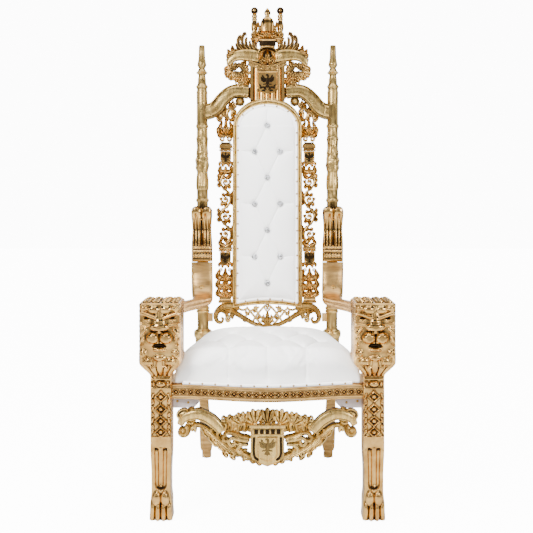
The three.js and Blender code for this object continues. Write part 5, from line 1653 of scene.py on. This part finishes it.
def crest_half():
    """The crest's right half: pediment, leaves, curls, plumes and the sides of the boss."""
    made = []
    for drop, half, depth in ((0, 3.2, 25.5), (7.5, 2.0, 24), (15, 3.2, 25.5)):
        path = [(77 - drop * 0.2, 1163 - drop), (40, 1148 - drop), (0, 1132 - drop)]
        made.append(stroke(path, half, depth, steps=9, ends=NO_ENDS))
    # A wider stroke set back behind the three, painted darker as the shade between them.
    made.append(tinted([stroke([(76, 1157), (40, 1142), (0, 1125)], 8.5, 20, steps=9, ends=NO_ENDS)], 0.2))
    made += leaves([
        (116, 1198, 146, 1230, 10, -0.2, 0), (130, 1194, 164, 1213, 10, -0.2, 0),
        (142, 1184, 168, 1192, 9, -0.2, 0),
        (102, 1202, 126, 1222, 7, -0.2, 0), (90, 1166, 84, 1136, 8, 0.2, 2), (150, 1172, 168, 1170, 7, -0.2, 0),
    ], 17)
    cluster = palmettes([(106, 1126, 34, -30), (134, 1122, 36, 14), (120, 1126, 38, 170), (140, 1126, 38, 158)], 17)
    cluster += palmettes([(98, 1132, 36, 190), (112, 1108, 34, 176), (92, 1102, 26, 196)], 19)
    cluster += leaves([
        (118, 1146, 96, 1162, 9, 0.3, 0), (140, 1144, 122, 1158, 8, 0.3, 0), (148, 1140, 168, 1112, 9, 0.3, 0),
        (146, 1124, 164, 1094, 9, 0.3, 0), (130, 1118, 148, 1082, 9, 0.25, 0), (112, 1112, 128, 1076, 9, 0.2, 0),
        (98, 1112, 104, 1074, 9, 0.1, 0), (86, 1108, 82, 1076, 8, 0.1, 0),
    ], 20)
    # Painted shade: the cluster darkens towards its middle.
    made += [
        (p, q, t, r * (0.45 + 0.55 * smooth(20, 44, np.hypot(p[:, 0] - 118, p[:, 2] - 1128))))
        for p, q, t, r in cluster
    ]
    made += leaves([
        (94, 1050, 130, 1076, 9, -0.35, 2), (80, 1086, 88, 1044, 9, 0.15, 3), (76, 1050, 86, 1014, 9, 0.25, 3),
        (78, 1030, 96, 1022, 8, -0.3, 2), (72, 1060, 72, 1010, 8, 0.1, 0), (74, 1090, 78, 1052, 8, 0.1, 0),
    ], 17)
    made += curls(
        [(105, 1061, 18, 150, -430, 6.5), (86, 1026, 11, 60, 400, 4.5), (150, 1140, 10, 100, -400, 3.6)], 18
    )
    plumes = [
        (7.0, [(46, 1192), (82, 1196), (108, 1216), (118, 1244), (110, 1266), (104, 1256)]),
        (6.5, [(42, 1196), (74, 1203), (96, 1224), (102, 1250), (92, 1278), (84, 1268)]),
        (6.0, [(40, 1200), (66, 1208), (84, 1228), (86, 1252), (80, 1262)]),
        (5.5, [(36, 1203), (58, 1212), (70, 1230), (70, 1248)]),
        (5.0, [(30, 1206), (48, 1216), (57, 1232), (56, 1242)]),
        (6.0, [(60, 1194), (96, 1200), (118, 1216), (128, 1238)]),
    ]
    for half, path in plumes:
        made.append(
            stroke(
                path, [half * 0.7, half, half * 1.1, half * 0.8], [15, 19, 22], HOLLOW, steps=26, ends=(0.1, 0.14)
            )
        )
    for number in range(5):
        a = math.radians(14 + 17 * number)
        root, tip = (20 * math.cos(a), 1186 + 20 * math.sin(a)), (46 * math.cos(a), 1182 + 42 * math.sin(a))
        made.append(leaf(root, tip, 5.5, 20, bend=-0.12))
    rim = [(0, 1222, 3), (22, 1216, 3), (37, 1200, 3), (40, 1180, 3), (31, 1160, 3), (14, 1146, 3), (0, 1138, 3)]
    made.append(stroke(rim, 3.0, 21, steps=40, ends=NO_ENDS))
    made += leaves([(3, 1158, 22, 1206, 10, -0.3, 0), (3, 1150, 35, 1184, 9, -0.3, 0)], 21, 2)
    made += curls([(19, 1164, 9, 250, 400, 3.0), (30, 1290, 10, 200, -400, 4.2), (60, 1270, 8, 160, -380, 3.6)], 18)
    for k in range(6):
        x = 3.6 + 7.0 * k
        made.append(leaf((x * 0.92, 1244), (x * 1.1, 1270 - 0.012 * x * x), 3.9, 22, bend=0))
    made += leaves([
        (24, 1256, 66, 1280, 10, -0.3, 3), (34, 1250, 70, 1258, 8, -0.25, 3), (10, 1262, 32, 1300, 10, -0.35, 3),
        (2, 1262, 16, 1296, 10, -0.2, 3), (30, 1300, 38, 1328, 5, -0.1, 0),
    ], 18, 6)
    return made


def crest_middle():
    """The parts on the crest's middle line: boss, palmette, coronet, leaf, bell and spear."""

    def half_width(z):
        return 34 + 5 * smooth(1240, 1250, z) - 4 * smooth(1232, 1222, z)

    def rims(z):
        return bell(z - 1247, 2.6) + 0.8 * bell(z - 1220, 2.4)

    def height(x, z):
        return 15 + 7 * hump(x / half_width(z)) + 3.5 * rims(z)

    coronet = panel(
        np.linspace(1217, 1251, 24), half_width, height, 41, tone=lambda x, z, _: np.clip(rims(z), 0, 1)
    )
    made = [
        coronet, ball((0, 1181, 2), (38, 8, 42), 32, 14, relief=0.0),
        leaf((0, 1150), (0, 1212), 9, 22, bend=0, lobes=2)
    ]
    made += [leaf((0, 1258), (0, 1306), 14, 22, bend=0, lobes=3, curl=3), palmette(0, 1262, 34, 0, 18, 5)]
    profile = [
        (27, 1284), (28, 1300), (28, 1314), (26, 1325), (20, 1336), (12.5, 1342), (9, 1345), (10.5, 1347),
        (9, 1349.5), (11.5, 1353), (13.6, 1359), (12, 1366), (7, 1374), (3, 1379.5), (0.8, 1381),
    ]
    p, q, t, _ = turned(profile, sides=36)
    # Above its collar the spear is painted dark at its sides, with a painted highlight down its middle.
    tone = np.where(p[:, 2] < 1344, 0.95, np.where(np.abs(p[:, 0]) > 7, 0.0, 0.8))
    return made + moved([(p * np.array([1, 0.42, 1]), q, t, tone)], y=-12.5)


def finial():
    """A slim turned baluster with a ball on a round plinth, about its own line."""
    stretch = 1.0315  # of the part over the plinth's top, so that the ball stands clear of the crest
    profile = np.array([
        (15, 1000), (15, 1122), (17, 1125), (17, 1130), (12, 1134), (12, 1240), (13.5, 1262), (11.5, 1270),
        (13.5, 1274), (11.5, 1279), (10, 1284), (13, 1294), (14, 1306), (12.5, 1318), (10, 1326), (9.6, 1330),
        (12, 1334), (9.6, 1338), (11, 1346), (12, 1350), (9, 1354), (7, 1357), (1, 1384.5),
    ])
    middle, radius = 1369.5, 15.0
    z = np.unique(np.concatenate([profile[:, 1], np.linspace(1357, 1384.4, 15)]))
    rows = np.interp(z, profile[:, 1], profile[:, 0])
    rows = np.where(z > 1357, np.sqrt(np.clip(radius**2 - (z - middle) ** 2, 0.6, None)), rows)
    p, q, t, _ = turned(np.stack([rows, z], axis=-1), sides=28)
    # The ball is painted dark, with a painted highlight in its middle.
    painted_glint = np.where(np.hypot(p[:, 0], p[:, 2] - middle) < 5, 0.95, 0.0)
    relief = np.where(p[:, 2] > 1357, painted_glint, 0.85)
    p[:, 2] += (stretch - 1) * np.maximum(p[:, 2] - 1134, 0)
    return p, q, t, relief


class ThroneCrest(bpy.types.Operator):
    """The carved crest with its shield and eagle, and the two finials behind it"""

    bl_idname = "throne.crest"
    bl_label = "Crest"

    def execute(self, context):
        gold = materials()["gold_leaf"]
        shield = moved([shield_board(40, 1119, 1046, 1028, 3, 4.0, 3.4, 0.9)], y=-20.5)
        bar = [block((-43, -27, 1117), (43, -20, 1125), 1.5, 0.95)]
        sprigs = leaves(
            [(4, 1044, 32, 1050, 4, 0.3, 2), (8, 1038, 26, 1037, 3.5, 0.3, 2), (28, 1048, 34, 1068, 3.4, 0.2, 2)],
            2.2, 0
        )
        charge = eagle(0, 1078, 1.45, 23.4, 0.0) + moved(tinted(both_sides(sprigs), 0.0), y=-23.4)
        shells = [grooved_block(), *both_sides(crest_half()), *crest_middle(), *shield, *bar, *charge]
        piece("crest_carved", leaning(moved(shells, y=CREST_Y)), gold, GOLD_SLOT, ("crest",), 50)
        rolls = leaning(moved(both_sides([mantling()]), y=MANTLING_Y))
        piece("crest_mantling", rolls, materials()["soft_gold"], GOLD_SLOT, crease=50)
        low = corners_of("crest_finial_right")[0][2] + 0.2
        shaped = leaning(moved([finial()], x=FINIAL_X, y=FINIAL_Y))
        shaped = [(np.stack([*p.T[:2], np.maximum(p[:, 2], low)], axis=-1), q, t, r) for p, q, t, r in shaped]
        pair("crest_finial_turned", shaped, gold, GOLD_SLOT, ("crest_finial",), crease=50)
        return {"FINISHED"}


# The arms of the crest

ARM_LINE = [(262, 956.5), (232, 961), (205, 976.5), (180, 1008.5), (150, 1034.5), (120, 1042.5), (76, 1038.5)]
KNOB_X, KNOB_Z = 110.0, 1001.5


def crest_arm():
    """A broad smooth moulding whose grooves near its edges are painted dark as shade, from the post up to the
    crest's block, and the knob below it.
    """
    made = [stroke(ARM_LINE, [31, 30.5, 29, 27.5, 27, 26, 25], 31.5, BANDED, steps=60, ends=NO_ENDS)]
    made.append(block((246, -32.6, 930), (260.5, 0, 984), 3, 0.3))
    made.append(stroke([(222, 996, 29), (232, 966, 29), (222, 934, 29)], 2.4, 3.6, steps=12))
    made.append(stroke([(96, 1060, 26), (90, 1038, 27), (98, 1014, 26)], 2.4, 4, steps=12))
    # The ring round the knob is set back and painted darker, as shade.
    circle = spiral((KNOB_X, KNOB_Z), 16, 16, 0, 360, 33)
    made.append(tinted([stroke(circle, 3.0, 14, steps=40, ends=NO_ENDS)], 0.3))
    return made + [ball((KNOB_X, KNOB_Z, 12), (13, 14, 13), 24, 12)]


class ThroneCrestArms(bpy.types.Operator):
    """The two curved arms between the posts and the crest"""

    bl_idname = "throne.crest_arms"
    bl_label = "Crest arms"

    def execute(self, context):
        shells = leaning(moved(crest_arm(), y=CREST_ARM_Y))
        pair("crest_arm_moulded", shells, materials()["soft_gold"], GOLD_SLOT, ("crest_arm",), crease=50)
        return {"FINISHED"}


# The pierced strips beside the pad

STRIP_X, STRIP_LOW = 167.0, 195.0
VINE = [(0, 430), (-18, 450), (-21, 474), (-8, 496), (10, 514), (20, 540), (9, 564), (-10, 582), (-20, 608)]
VINE += [(-11, 634), (8, 650), (20, 674), (13, 696), (0, 715)]


def strip_shield(z):
    """A small shield with a dark charge, leaves at its sides and moulded bands over it."""
    made = moved([shield_board(22, 26, -8, -29, 9, 4, 4.0, 0.9, 31, 36)], z=z)
    made += eagle(0, z, 0.95, 9.4, 0.0)
    made += both_sides(leaves([(14, z - 16, 26, z - 36, 6, 0.2, 0), (4, z - 22, 12, z - 40, 6, 0.2, 0)], 11, 0))
    # The narrower middle band is set back and painted dark, as shade.
    for low, high, half, deep, tone in ((27, 33, 27, 12, 0.9), (33, 37, 22, 9, 0.0), (37, 46, 27, 13, 0.9)):
        made.append(block((-half, -deep, z + low), (half, 0, z + high), 1.5, tone))
    return made


def strip_vine():
    """The vine: a wavy stem, and in each of its bays a curl with a bud and leaves on both sides."""
    made = [stroke(VINE, 4.6, 13, steps=90, ends=ALONG)]
    for z, side in ((468.0, 1), (538.0, -1), (606.0, 1), (676.0, -1)):
        bay = curls(
            [(side, z, 16, 90 - 90 * side, -side * 430, 4.6)], 13
        ) + [ball((side, z, 9), (5.5, 7, 5.5), 12, 8)]
        for angle, reach, half in ((100, 32, 9), (50, 28, 8), (-5, 26, 8), (-60, 30, 8), (-110, 32, 9)):
            a = math.radians(90 - side * (90 - angle))
            root, tip = (13 * math.cos(a), z + 13 * math.sin(a)), (
                reach * math.cos(a) * 0.92, z + reach * math.sin(a) * 1.15
            )
            bay.append(leaf(root, tip, half, 13, bend=0.3 * side, lobes=2, curl=3, steps=10))
        edge = -side * 20
        bay += leaves([(edge, z + up, edge * 1.36, z + up + 20, 7, 0.25 * side, 0) for up in (-20, 0, 16)], 11, 2)
        made += bay
    return made


def strip():
    """One strip about x = 0, from its block at the bottom to the leaf fan at the top."""
    made = [block((-27, -12, STRIP_LOW), (27, 0, STRIP_LOW + 12), 2, 0.9)]
    made += [block((-24, -10, STRIP_LOW + 12), (24, 0, STRIP_LOW + 26), 1.5, 0.75)]
    half = []
    for z, reach in ((220, 42), (252, 46), (286, 46)):
        half += leaves([(2, z, 25, z + reach, 12, -0.34, 3), (4, z + 2, 20, z + reach * 0.5, 9, -0.3, 2)], 13)
        half += curls([(17, z + reach - 7, 8, -30, 380, 3.2)], 13)
        made += [leaf((0, z - 4), (0, z + reach + 6), 9, 16, bend=0, lobes=3), palmette(0, z + 4, 24, 0, 13)]
    half += leaves([
        (0, 712, 24, 744, 11, -0.3, 3), (0, 420, 22, 450, 10, -0.3, 2), (0, 404, 24, 424, 8, -0.3, 2),
        (10, 858, 25, 910, 10, -0.25, 2), (4, 864, 16, 928, 9, -0.2, 2), (18, 856, 28, 884, 8, -0.2, 2),
        (2, 690, 18, 720, 8, -0.3, 2),
    ], 14)
    half += curls([(13, 848, 13, 150, -420, 5.2), (12, 890, 8, 200, -380, 3)], 14)
    made += both_sides(half) + strip_shield(372) + strip_vine() + strip_shield(774)
    made += [leaf((0, 858), (0, 932), 10, 16, bend=0, lobes=3), leaf((0, 706), (0, 742), 9, 16, bend=0, lobes=3)]
    # The narrow band over the lower one is set back and painted dark, as shade.
    made += [block((-26, -13, 819), (26, 0, 829), 2, 0.9), block((-20, -10, 829), (20, 0, 836), 1, 0.1)]
    return moved(made, x=STRIP_X)


def spandrel():
    """Scrolls and leaves that fill the corner between the arch, the strip and the arm of the crest."""
    made = [
        stroke(
            [(152, 926), (162, 946), (158, 964), (146, 972), (136, 962), (144, 952)], [6, 5], [12, 15], steps=30
        ),
        stroke([(184, 926), (187, 944), (178, 958), (166, 962)], [5.5, 4.5], 12, steps=20),
        stroke([(140, 932), (145, 950), (137, 972), (122, 988)], 4.6, 12, steps=20),
    ]
    made += curls([(170, 948, 10, 200, 400, 4), (134, 986, 10, 20, 400, 4), (188, 934, 8, 100, 400, 3)], 12)
    made += leaves([
        (150, 962, 174, 988, 10, -0.25, 3), (138, 966, 150, 1000, 9, -0.2, 3), (176, 940, 197, 966, 9, -0.25, 2),
        (156, 938, 176, 970, 9, -0.25, 2), (126, 976, 140, 1008, 8, -0.2, 2), (150, 924, 132, 948, 8, 0.25, 2),
        (184, 922, 203, 946, 8, -0.2, 2), (144, 944, 128, 972, 7, 0.2, 2), (164, 920, 170, 952, 8, 0.1, 2),
    ], 13)
    return made


class ThroneSideCarvings(bpy.types.Operator):
    """The pierced strips of scrolls, leaves and shields on both sides of the pad"""

    bl_idname = "throne.side_carvings"
    bl_label = "Side carvings"

    def execute(self, context):
        shells = leaning(moved(strip() + spandrel(), y=SIDE_Y))
        pair("side_carving_scrolls", shells, materials()["gold_leaf"], GOLD_SLOT, ("side_carving",), crease=50)
        return {"FINISHED"}


# The bottom rail of the back


def low_rail():
    """The rail's right half and its image: a broad volute, a bar that falls to the middle, and a lattice."""
    volute = [
        (112, 168), (128, 180), (150, 186), (176, 181), (198, 162), (204, 140), (197, 124), (182, 120), (175, 132),
        (183, 141)
    ]
    made = [
        stroke(volute, [10, 13, 13.5, 13.5, 12.5, 10, 7, 5.5, 4], [24, 26], REEDED, steps=60, ends=ALONG),
        stroke(
            [(150, 172), (118, 152), (88, 134), (48, 113), (0, 101)], [11, 9.5, 8, 7.5], 22, REEDED, steps=36,
            ends=(0.04, 0)
        ),
        ball((157, 129, 12), (7, 11, 7), 14, 9), ball((32, 147, 8), (6, 9, 6), 12, 8),
    ]
    lattice = [
        [(118, 176), (100, 168), (84, 172), (78, 182)], [(92, 136), (74, 158), (52, 172), (30, 180)],
        [(60, 118), (46, 142), (26, 168), (6, 188)], [(0, 116), (20, 134), (42, 162), (54, 184)],
        [(20, 108), (44, 134), (66, 160), (84, 180)],
    ]
    made += [stroke(path, 4.2, 15, steps=20, ends=ALONG) for path in lattice]
    made += curls([(154, 131, 14, 150, -420, 6)], 21)
    made += leaves([
        (134, 170, 166, 138, 12, 0.25, 3), (148, 178, 192, 164, 10, -0.2, 3), (124, 162, 140, 130, 11, 0.25, 2),
        (100, 148, 128, 172, 9, -0.3, 2), (56, 158, 44, 188, 6, 0.2, 0), (70, 150, 88, 170, 6, -0.2, 0),
        (2, 110, 28, 126, 8, 0.25, 2), (4, 116, 16, 152, 8, -0.2, 2), (28, 142, 40, 122, 6, 0.2, 0),
        (96, 142, 76, 122, 7, 0.2, 0),
    ], 19)
    middle = [leaf((0, 104), (0, 164), 11, 24, bend=0, lobes=3), ball((0, 177, 8), (6, 10, 8), 12, 8)]
    diamond = [stroke([(0, 192), (11, 177), (0, 160)], 3.4, 16, steps=12)]
    return both_sides(made + diamond) + middle


class ThroneLowRail(bpy.types.Operator):
    """The carved rail below the pad, with its volutes and lattice"""

    bl_idname = "throne.low_rail"
    bl_label = "Bottom rail of the back"

    def execute(self, context):
        shells = leaning(moved(low_rail(), y=LOW_RAIL_Y))
        piece("lower_rail_carved", shells, materials()["soft_gold"], GOLD_SLOT, ("lower_rail",), 50)
        return {"FINISHED"}


# The stretcher between the front legs


def stretcher_half():
    """The right half: end volute, hook, thick arc, lower strand, upright leaves and pierced foliage."""
    arc = [(292, 308), (278, 332), (252, 344), (220, 345), (188, 330), (164, 308), (148, 286)]
    strand = [
        (244, 291), (250, 300), (240, 310), (222, 309), (204, 300), (184, 282), (162, 262), (117, 230), (60, 206),
        (0, 184)
    ]
    scroll = [(54, 268), (84, 272), (112, 284), (134, 284), (146, 270), (138, 258), (130, 266)]
    made = [
        stroke(arc, [10, 15, 18, 19, 19, 18, 14], [20, 24], BANDED, steps=60, ends=ALONG),
        stroke(
            [(260, 354), (278, 358), (294, 347), (288, 330), (292, 312)], [6, 8, 8, 7], [18, 22], HOLLOW, steps=30
        ),
        stroke(spiral((280, 291), 20, 5, 110, 460, 20), [11, 8.5, 5.5], [20, 24], REEDED, steps=50, ends=ALONG),
        stroke(strand, [6, 8, 9, 11, 12, 12, 10, 9], [18, 21], REEDED, steps=90, ends=(0.02, 0)),
        stroke(scroll, [8, 9, 8, 6, 5], [20, 24], REEDED, steps=44),
        stroke([(58, 256), (92, 262), (118, 266), (128, 252), (116, 243), (108, 254)], [6, 5], [18, 21], steps=36),
        stroke([(62, 244), (84, 244), (100, 232), (91, 220), (80, 228)], [5.5, 4.5], [18, 21], steps=28),
        ball((280, 291, 16), (6, 8, 6), 14, 9), ball((108, 249, 14), (6, 8, 6), 12, 8),
        ball((88, 226, 14), (6, 8, 6), 12, 8),
    ]
    made += curls([(247, 297, 11, 250, -400, 5), (74, 206, 10, 30, 400, 4), (118, 214, 10, 60, 400, 4)], 18)
    upright = [
        (62, 284, 80, 342), (82, 284, 102, 342), (102, 284, 124, 342), (122, 286, 144, 338), (142, 288, 156, 322)
    ]
    made += leaves([(*row, 13, 0.3, 3) for row in upright], 22, 2)
    made += curls([(x + 1, z - 9, 9, 120, -380, 3.4) for _, _, x, z in upright[:4]], 20)
    made += leaves([
        (262, 346, 238, 362, 10, -0.25, 2), (238, 352, 208, 354, 9, -0.2, 2), (270, 316, 236, 326, 10, 0.2, 2),
        (190, 304, 140, 226, 15, 0.16, 4), (170, 292, 116, 212, 15, 0.16, 4), (150, 276, 92, 204, 14, 0.16, 4),
        (214, 312, 176, 262, 11, 0.14, 3), (134, 268, 100, 236, 10, 0.3, 3), (114, 258, 78, 252, 9, 0.3, 2),
        (98, 240, 64, 226, 9, 0.3, 3), (84, 226, 56, 206, 9, 0.3, 2), (110, 228, 84, 210, 9, 0.3, 2),
    ], 20, 2)
    made += leaves([
        (150, 250, 146, 222, 10, 0.25, 3), (130, 232, 134, 198, 11, 0.25, 3), (108, 222, 108, 190, 11, 0.25, 3),
        (86, 216, 78, 186, 11, -0.2, 3), (66, 212, 60, 190, 9, 0.2, 2), (50, 206, 38, 182, 10, 0.3, 2),
        (30, 196, 16, 178, 10, 0.3, 2), (168, 268, 166, 240, 9, 0.25, 3),
    ], 17)
    return made


def shell_crown():
    """Half of the crown over the shield: a shell on the middle line, two beside it and leaves at the end."""
    made = palmettes([(0, 312, 50, 0), (41, 312, 47, 10), (80, 310, 41, 26)], 22)
    made += leaves(
        [(98, 302, 132, 338, 11, -0.3, 3), (92, 300, 126, 314, 10, -0.25, 3), (20, 308, 21, 350, 7, 0, 2)], 20
    )
    made += leaves([(60, 306, 64, 346, 7, 0, 2)], 20)
    return made + [ball((x, 316, 16), (8, 8, 7), 14, 9) for x in (0, 41, 78)]


def stretcher_shield():
    """The big shield: a moulded top whose set-back band and row of squares are painted dark as shade, dark side
    bands and a smaller shield.
    """
    made = [shield_board(56, 304, 212, 176, 21, 5, 3.5, 0.85, 81, 80)]
    # The set-back band and squares, of tone 0, are painted shade.
    bars = [
        ((-60, -26.5, 304), (60, 0, 314), 0.95), ((-56, -24, 299), (56, 0, 304), 0.0),
        ((-52, -25, 278), (52, -20, 283), 0.95),
    ]
    for k in range(5):
        x = 18.4 * (k - 2)
        bars.append(((x - 6.4, -23, 284), (x + 6.4, -20, 298), 0.0))
    for k in range(6):
        x = 18.4 * (k - 2.5)
        bars.append(((x - 2.4, -26, 283), (x + 2.4, -20, 299), 0.95))
    made += [block(low, high, 0.7, tone) for low, high, tone in bars]
    made += moved([shield_board(34, 274, 214, 193, 2.4, 4, 3.2, 0.7)], y=-21.5)
    band = stroke([(44, 275, 21), (44, 214, 21), (28, 195, 21)], 4.2, 2.0, steps=24, ends=ALONG)
    return made + tinted(both_sides([band]), 0.0) + eagle(0, 240, 1.45, 23.5, 0.3)


class ThroneStretcher(bpy.types.Operator):
    """The pierced stretcher between the front legs, with its shield and crown of shells"""

    bl_idname = "throne.stretcher"
    bl_label = "Front stretcher"

    def execute(self, context):
        shells = both_sides(stretcher_half() + shell_crown()) + stretcher_shield()
        shells = moved(shells, y=STRETCHER_Y)
        piece("front_stretcher_carved", shells, materials()["soft_gold"], GOLD_SLOT, ("front_stretcher",), 50)
        return {"FINISHED"}


# The stage

SENSOR = 36.0
LENS = 54.57
CAMERA_PLACE = (0.0, -2.957, 1.09)
CAMERA_SHIFT = (-0.0017, -0.1439)
FLOOR_REACH = 12.0
SEEN_BRIGHTNESS = 12.0  # of the floor and the background, to the camera alone


def studio_world():
    """Even light for matt surfaces. Glossy ones see a bright room with a dark patch in front of the throne,
    dark strips beside it and a bright ceiling. The background is white."""
    world = bpy.data.worlds.new("studio")
    world.use_nodes = True
    nodes, links = world.node_tree.nodes, world.node_tree.links
    nodes.clear()
    place = node(nodes, "ShaderNodeTexCoord")
    axes = node(nodes, "ShaderNodeSeparateXYZ")
    links.new(place.outputs["Generated"], axes.inputs["Vector"])
    forward = node(nodes, "ShaderNodeMath", {1: -1.0}, operation="MULTIPLY")
    links.new(axes.outputs["Y"], forward.inputs[0])
    sideways = node(nodes, "ShaderNodeMath", operation="ABSOLUTE")
    links.new(axes.outputs["X"], sideways.inputs[0])
    patch = ramp(nodes, links, forward.outputs[0], [(0.0, 1.0), (0.72, 1.0), (0.88, 0.45), (0.96, 0.32)])
    stops = [
        (0.0, 0.5), (0.12, 0.55), (0.2, 1.0), (0.36, 1.0), (0.44, 0.04), (0.62, 0.04), (0.7, 0.85), (0.82, 0.85),
        (0.93, 0.06)
    ]
    strips = ramp(nodes, links, sideways.outputs[0], stops)
    ceiling = ramp(
        nodes, links, axes.outputs["Z"],
        [(0.0, 0.2), (0.06, 0.4), (0.15, 1.0), (0.4, 1.0), (0.48, 0.05), (0.72, 0.06), (0.84, 1.0)]
    )
    room = blended(nodes, links, None, patch, strips, "MULTIPLY")
    room = blended(nodes, links, None, room, ceiling, "MULTIPLY")
    rays = node(nodes, "ShaderNodeLightPath")
    seen = node(nodes, "ShaderNodeBackground", {"Color": (1, 1, 1, 1), "Strength": SEEN_BRIGHTNESS})
    even = node(nodes, "ShaderNodeBackground", {"Color": (1, 0.985, 0.955, 1), "Strength": 0.8})
    glossy = node(nodes, "ShaderNodeBackground", {"Strength": 3.2})
    links.new(room, glossy.inputs["Color"])
    first, second = node(nodes, "ShaderNodeMixShader"), node(nodes, "ShaderNodeMixShader")
    links.new(rays.outputs["Is Glossy Ray"], first.inputs[0])
    links.new(even.outputs[0], first.inputs[1])
    links.new(glossy.outputs[0], first.inputs[2])
    links.new(rays.outputs["Is Camera Ray"], second.inputs[0])
    links.new(first.outputs[0], second.inputs[1])
    links.new(seen.outputs[0], second.inputs[2])
    made = node(nodes, "ShaderNodeOutputWorld")
    links.new(second.outputs[0], made.inputs["Surface"])
    bpy.context.scene.world = world


def softbox(name, place, aim, size, energy, shows=False):
    """A square area light at a place, turned to what it aims at; polished metal reflects it only if it shows."""
    data = bpy.data.lights.new(name, "AREA")
    data.size = size
    data.energy = energy
    light = bpy.data.objects.new(name, data)
    light.location = place
    light.visible_glossy = shows
    light.rotation_euler = (Vector(aim) - Vector(place)).to_track_quat("-Z", "Y").to_euler()
    bpy.context.scene.collection.objects.link(light)


class ThroneStage(bpy.types.Operator):
    """A pale floor that looks brighter than it lights, soft studio light and a level camera"""

    bl_idname = "throne.stage"
    bl_label = "Stage"

    def execute(self, context):
        studio_world()
        softbox("key", (-1.7, -2.3, 2.7), (0, 0, 0.9), 1.2, 290)
        softbox("fill", (2.1, -1.9, 1.7), (0, 0, 0.8), 1.3, 60)
        softbox("top", (0, -0.3, 3.4), (0, 0, 0.6), 1.6, 110)
        softbox("sheen_left", (-1.5, -2.4, 2.3), (0, 0, 1.0), 0.7, 34, True)
        softbox("sheen_right", (1.7, -2.2, 1.5), (0, 0, 0.9), 0.6, 20, True)
        mesh = bpy.data.meshes.new("floor")
        corners = [(x * FLOOR_REACH, y * FLOOR_REACH, 0) for x, y in ((-1, -1), (1, -1), (1, 1), (-1, 1))]
        mesh.from_pydata(corners, [], [(0, 1, 2, 3)])
        material, nodes, links, surface = shader("floor", 0.0, 0.3, Base_Color=(0.5, 0.5, 0.49, 1))
        surface.inputs["Emission Color"].default_value = (1, 1, 1, 1)
        seen = node(nodes, "ShaderNodeMath", {1: SEEN_BRIGHTNESS}, operation="MULTIPLY")
        links.new(node(nodes, "ShaderNodeLightPath").outputs["Is Camera Ray"], seen.inputs[0])
        links.new(seen.outputs[0], surface.inputs["Emission Strength"])
        cloud = noise(nodes, links, 2.0)
        links.new(ramp(nodes, links, cloud, [(0.3, 0.26), (0.7, 0.34)]), surface.inputs["Roughness"])
        mesh.materials.append(material)
        floor = bpy.data.objects.new("floor", mesh)
        context.scene.collection.objects.link(floor)
        data = bpy.data.cameras.new("camera")
        data.sensor_width = SENSOR
        data.lens = LENS
        data.shift_x, data.shift_y = CAMERA_SHIFT
        camera = bpy.data.objects.new("camera", data)
        camera.location = CAMERA_PLACE
        camera.rotation_euler = (math.pi / 2, 0, 0)
        context.scene.collection.objects.link(camera)
        context.scene.camera = camera
        return {"FINISHED"}


# The add-on

STEPS = (
    ThroneStage, ThroneFrontLegs, ThroneSeatFrame, ThroneArms, ThronePosts, ThroneBack, ThroneSideCarvings,
    ThroneLowRail, ThroneCrestArms, ThroneCrest, ThroneCushion, ThroneStretcher,
)


class ThronePanel(bpy.types.Panel):
    """Every step of the throne, with its sizes and colours"""

    bl_idname = "VIEW3D_PT_throne"
    bl_label = "Throne"
    bl_space_type = "VIEW_3D"
    bl_region_type = "UI"
    bl_category = "Throne"

    def draw(self, context):
        for step in STEPS:
            self.layout.operator(step.bl_idname)
        for settings in (context.scene.throne_sizes, context.scene.throne_colours):
            box = self.layout.box()
            for name in type(settings).__annotations__:
                box.prop(settings, name)


CLASSES = (ThroneSizes, ThroneColours, *STEPS, ThronePanel)


def register():
    for kind in CLASSES:
        bpy.utils.register_class(kind)
    bpy.types.Scene.throne_sizes = PointerProperty(type=ThroneSizes)
    bpy.types.Scene.throne_colours = PointerProperty(type=ThroneColours)


def unregister():
    del bpy.types.Scene.throne_colours
    del bpy.types.Scene.throne_sizes
    for kind in reversed(CLASSES):
        bpy.utils.unregister_class(kind)


def main():
    """Registers the add-on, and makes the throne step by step."""
    register()
    for step in STEPS:
        getattr(bpy.ops.throne, step.bl_idname.split(".")[1])()


if __name__ == "__main__":
    main()
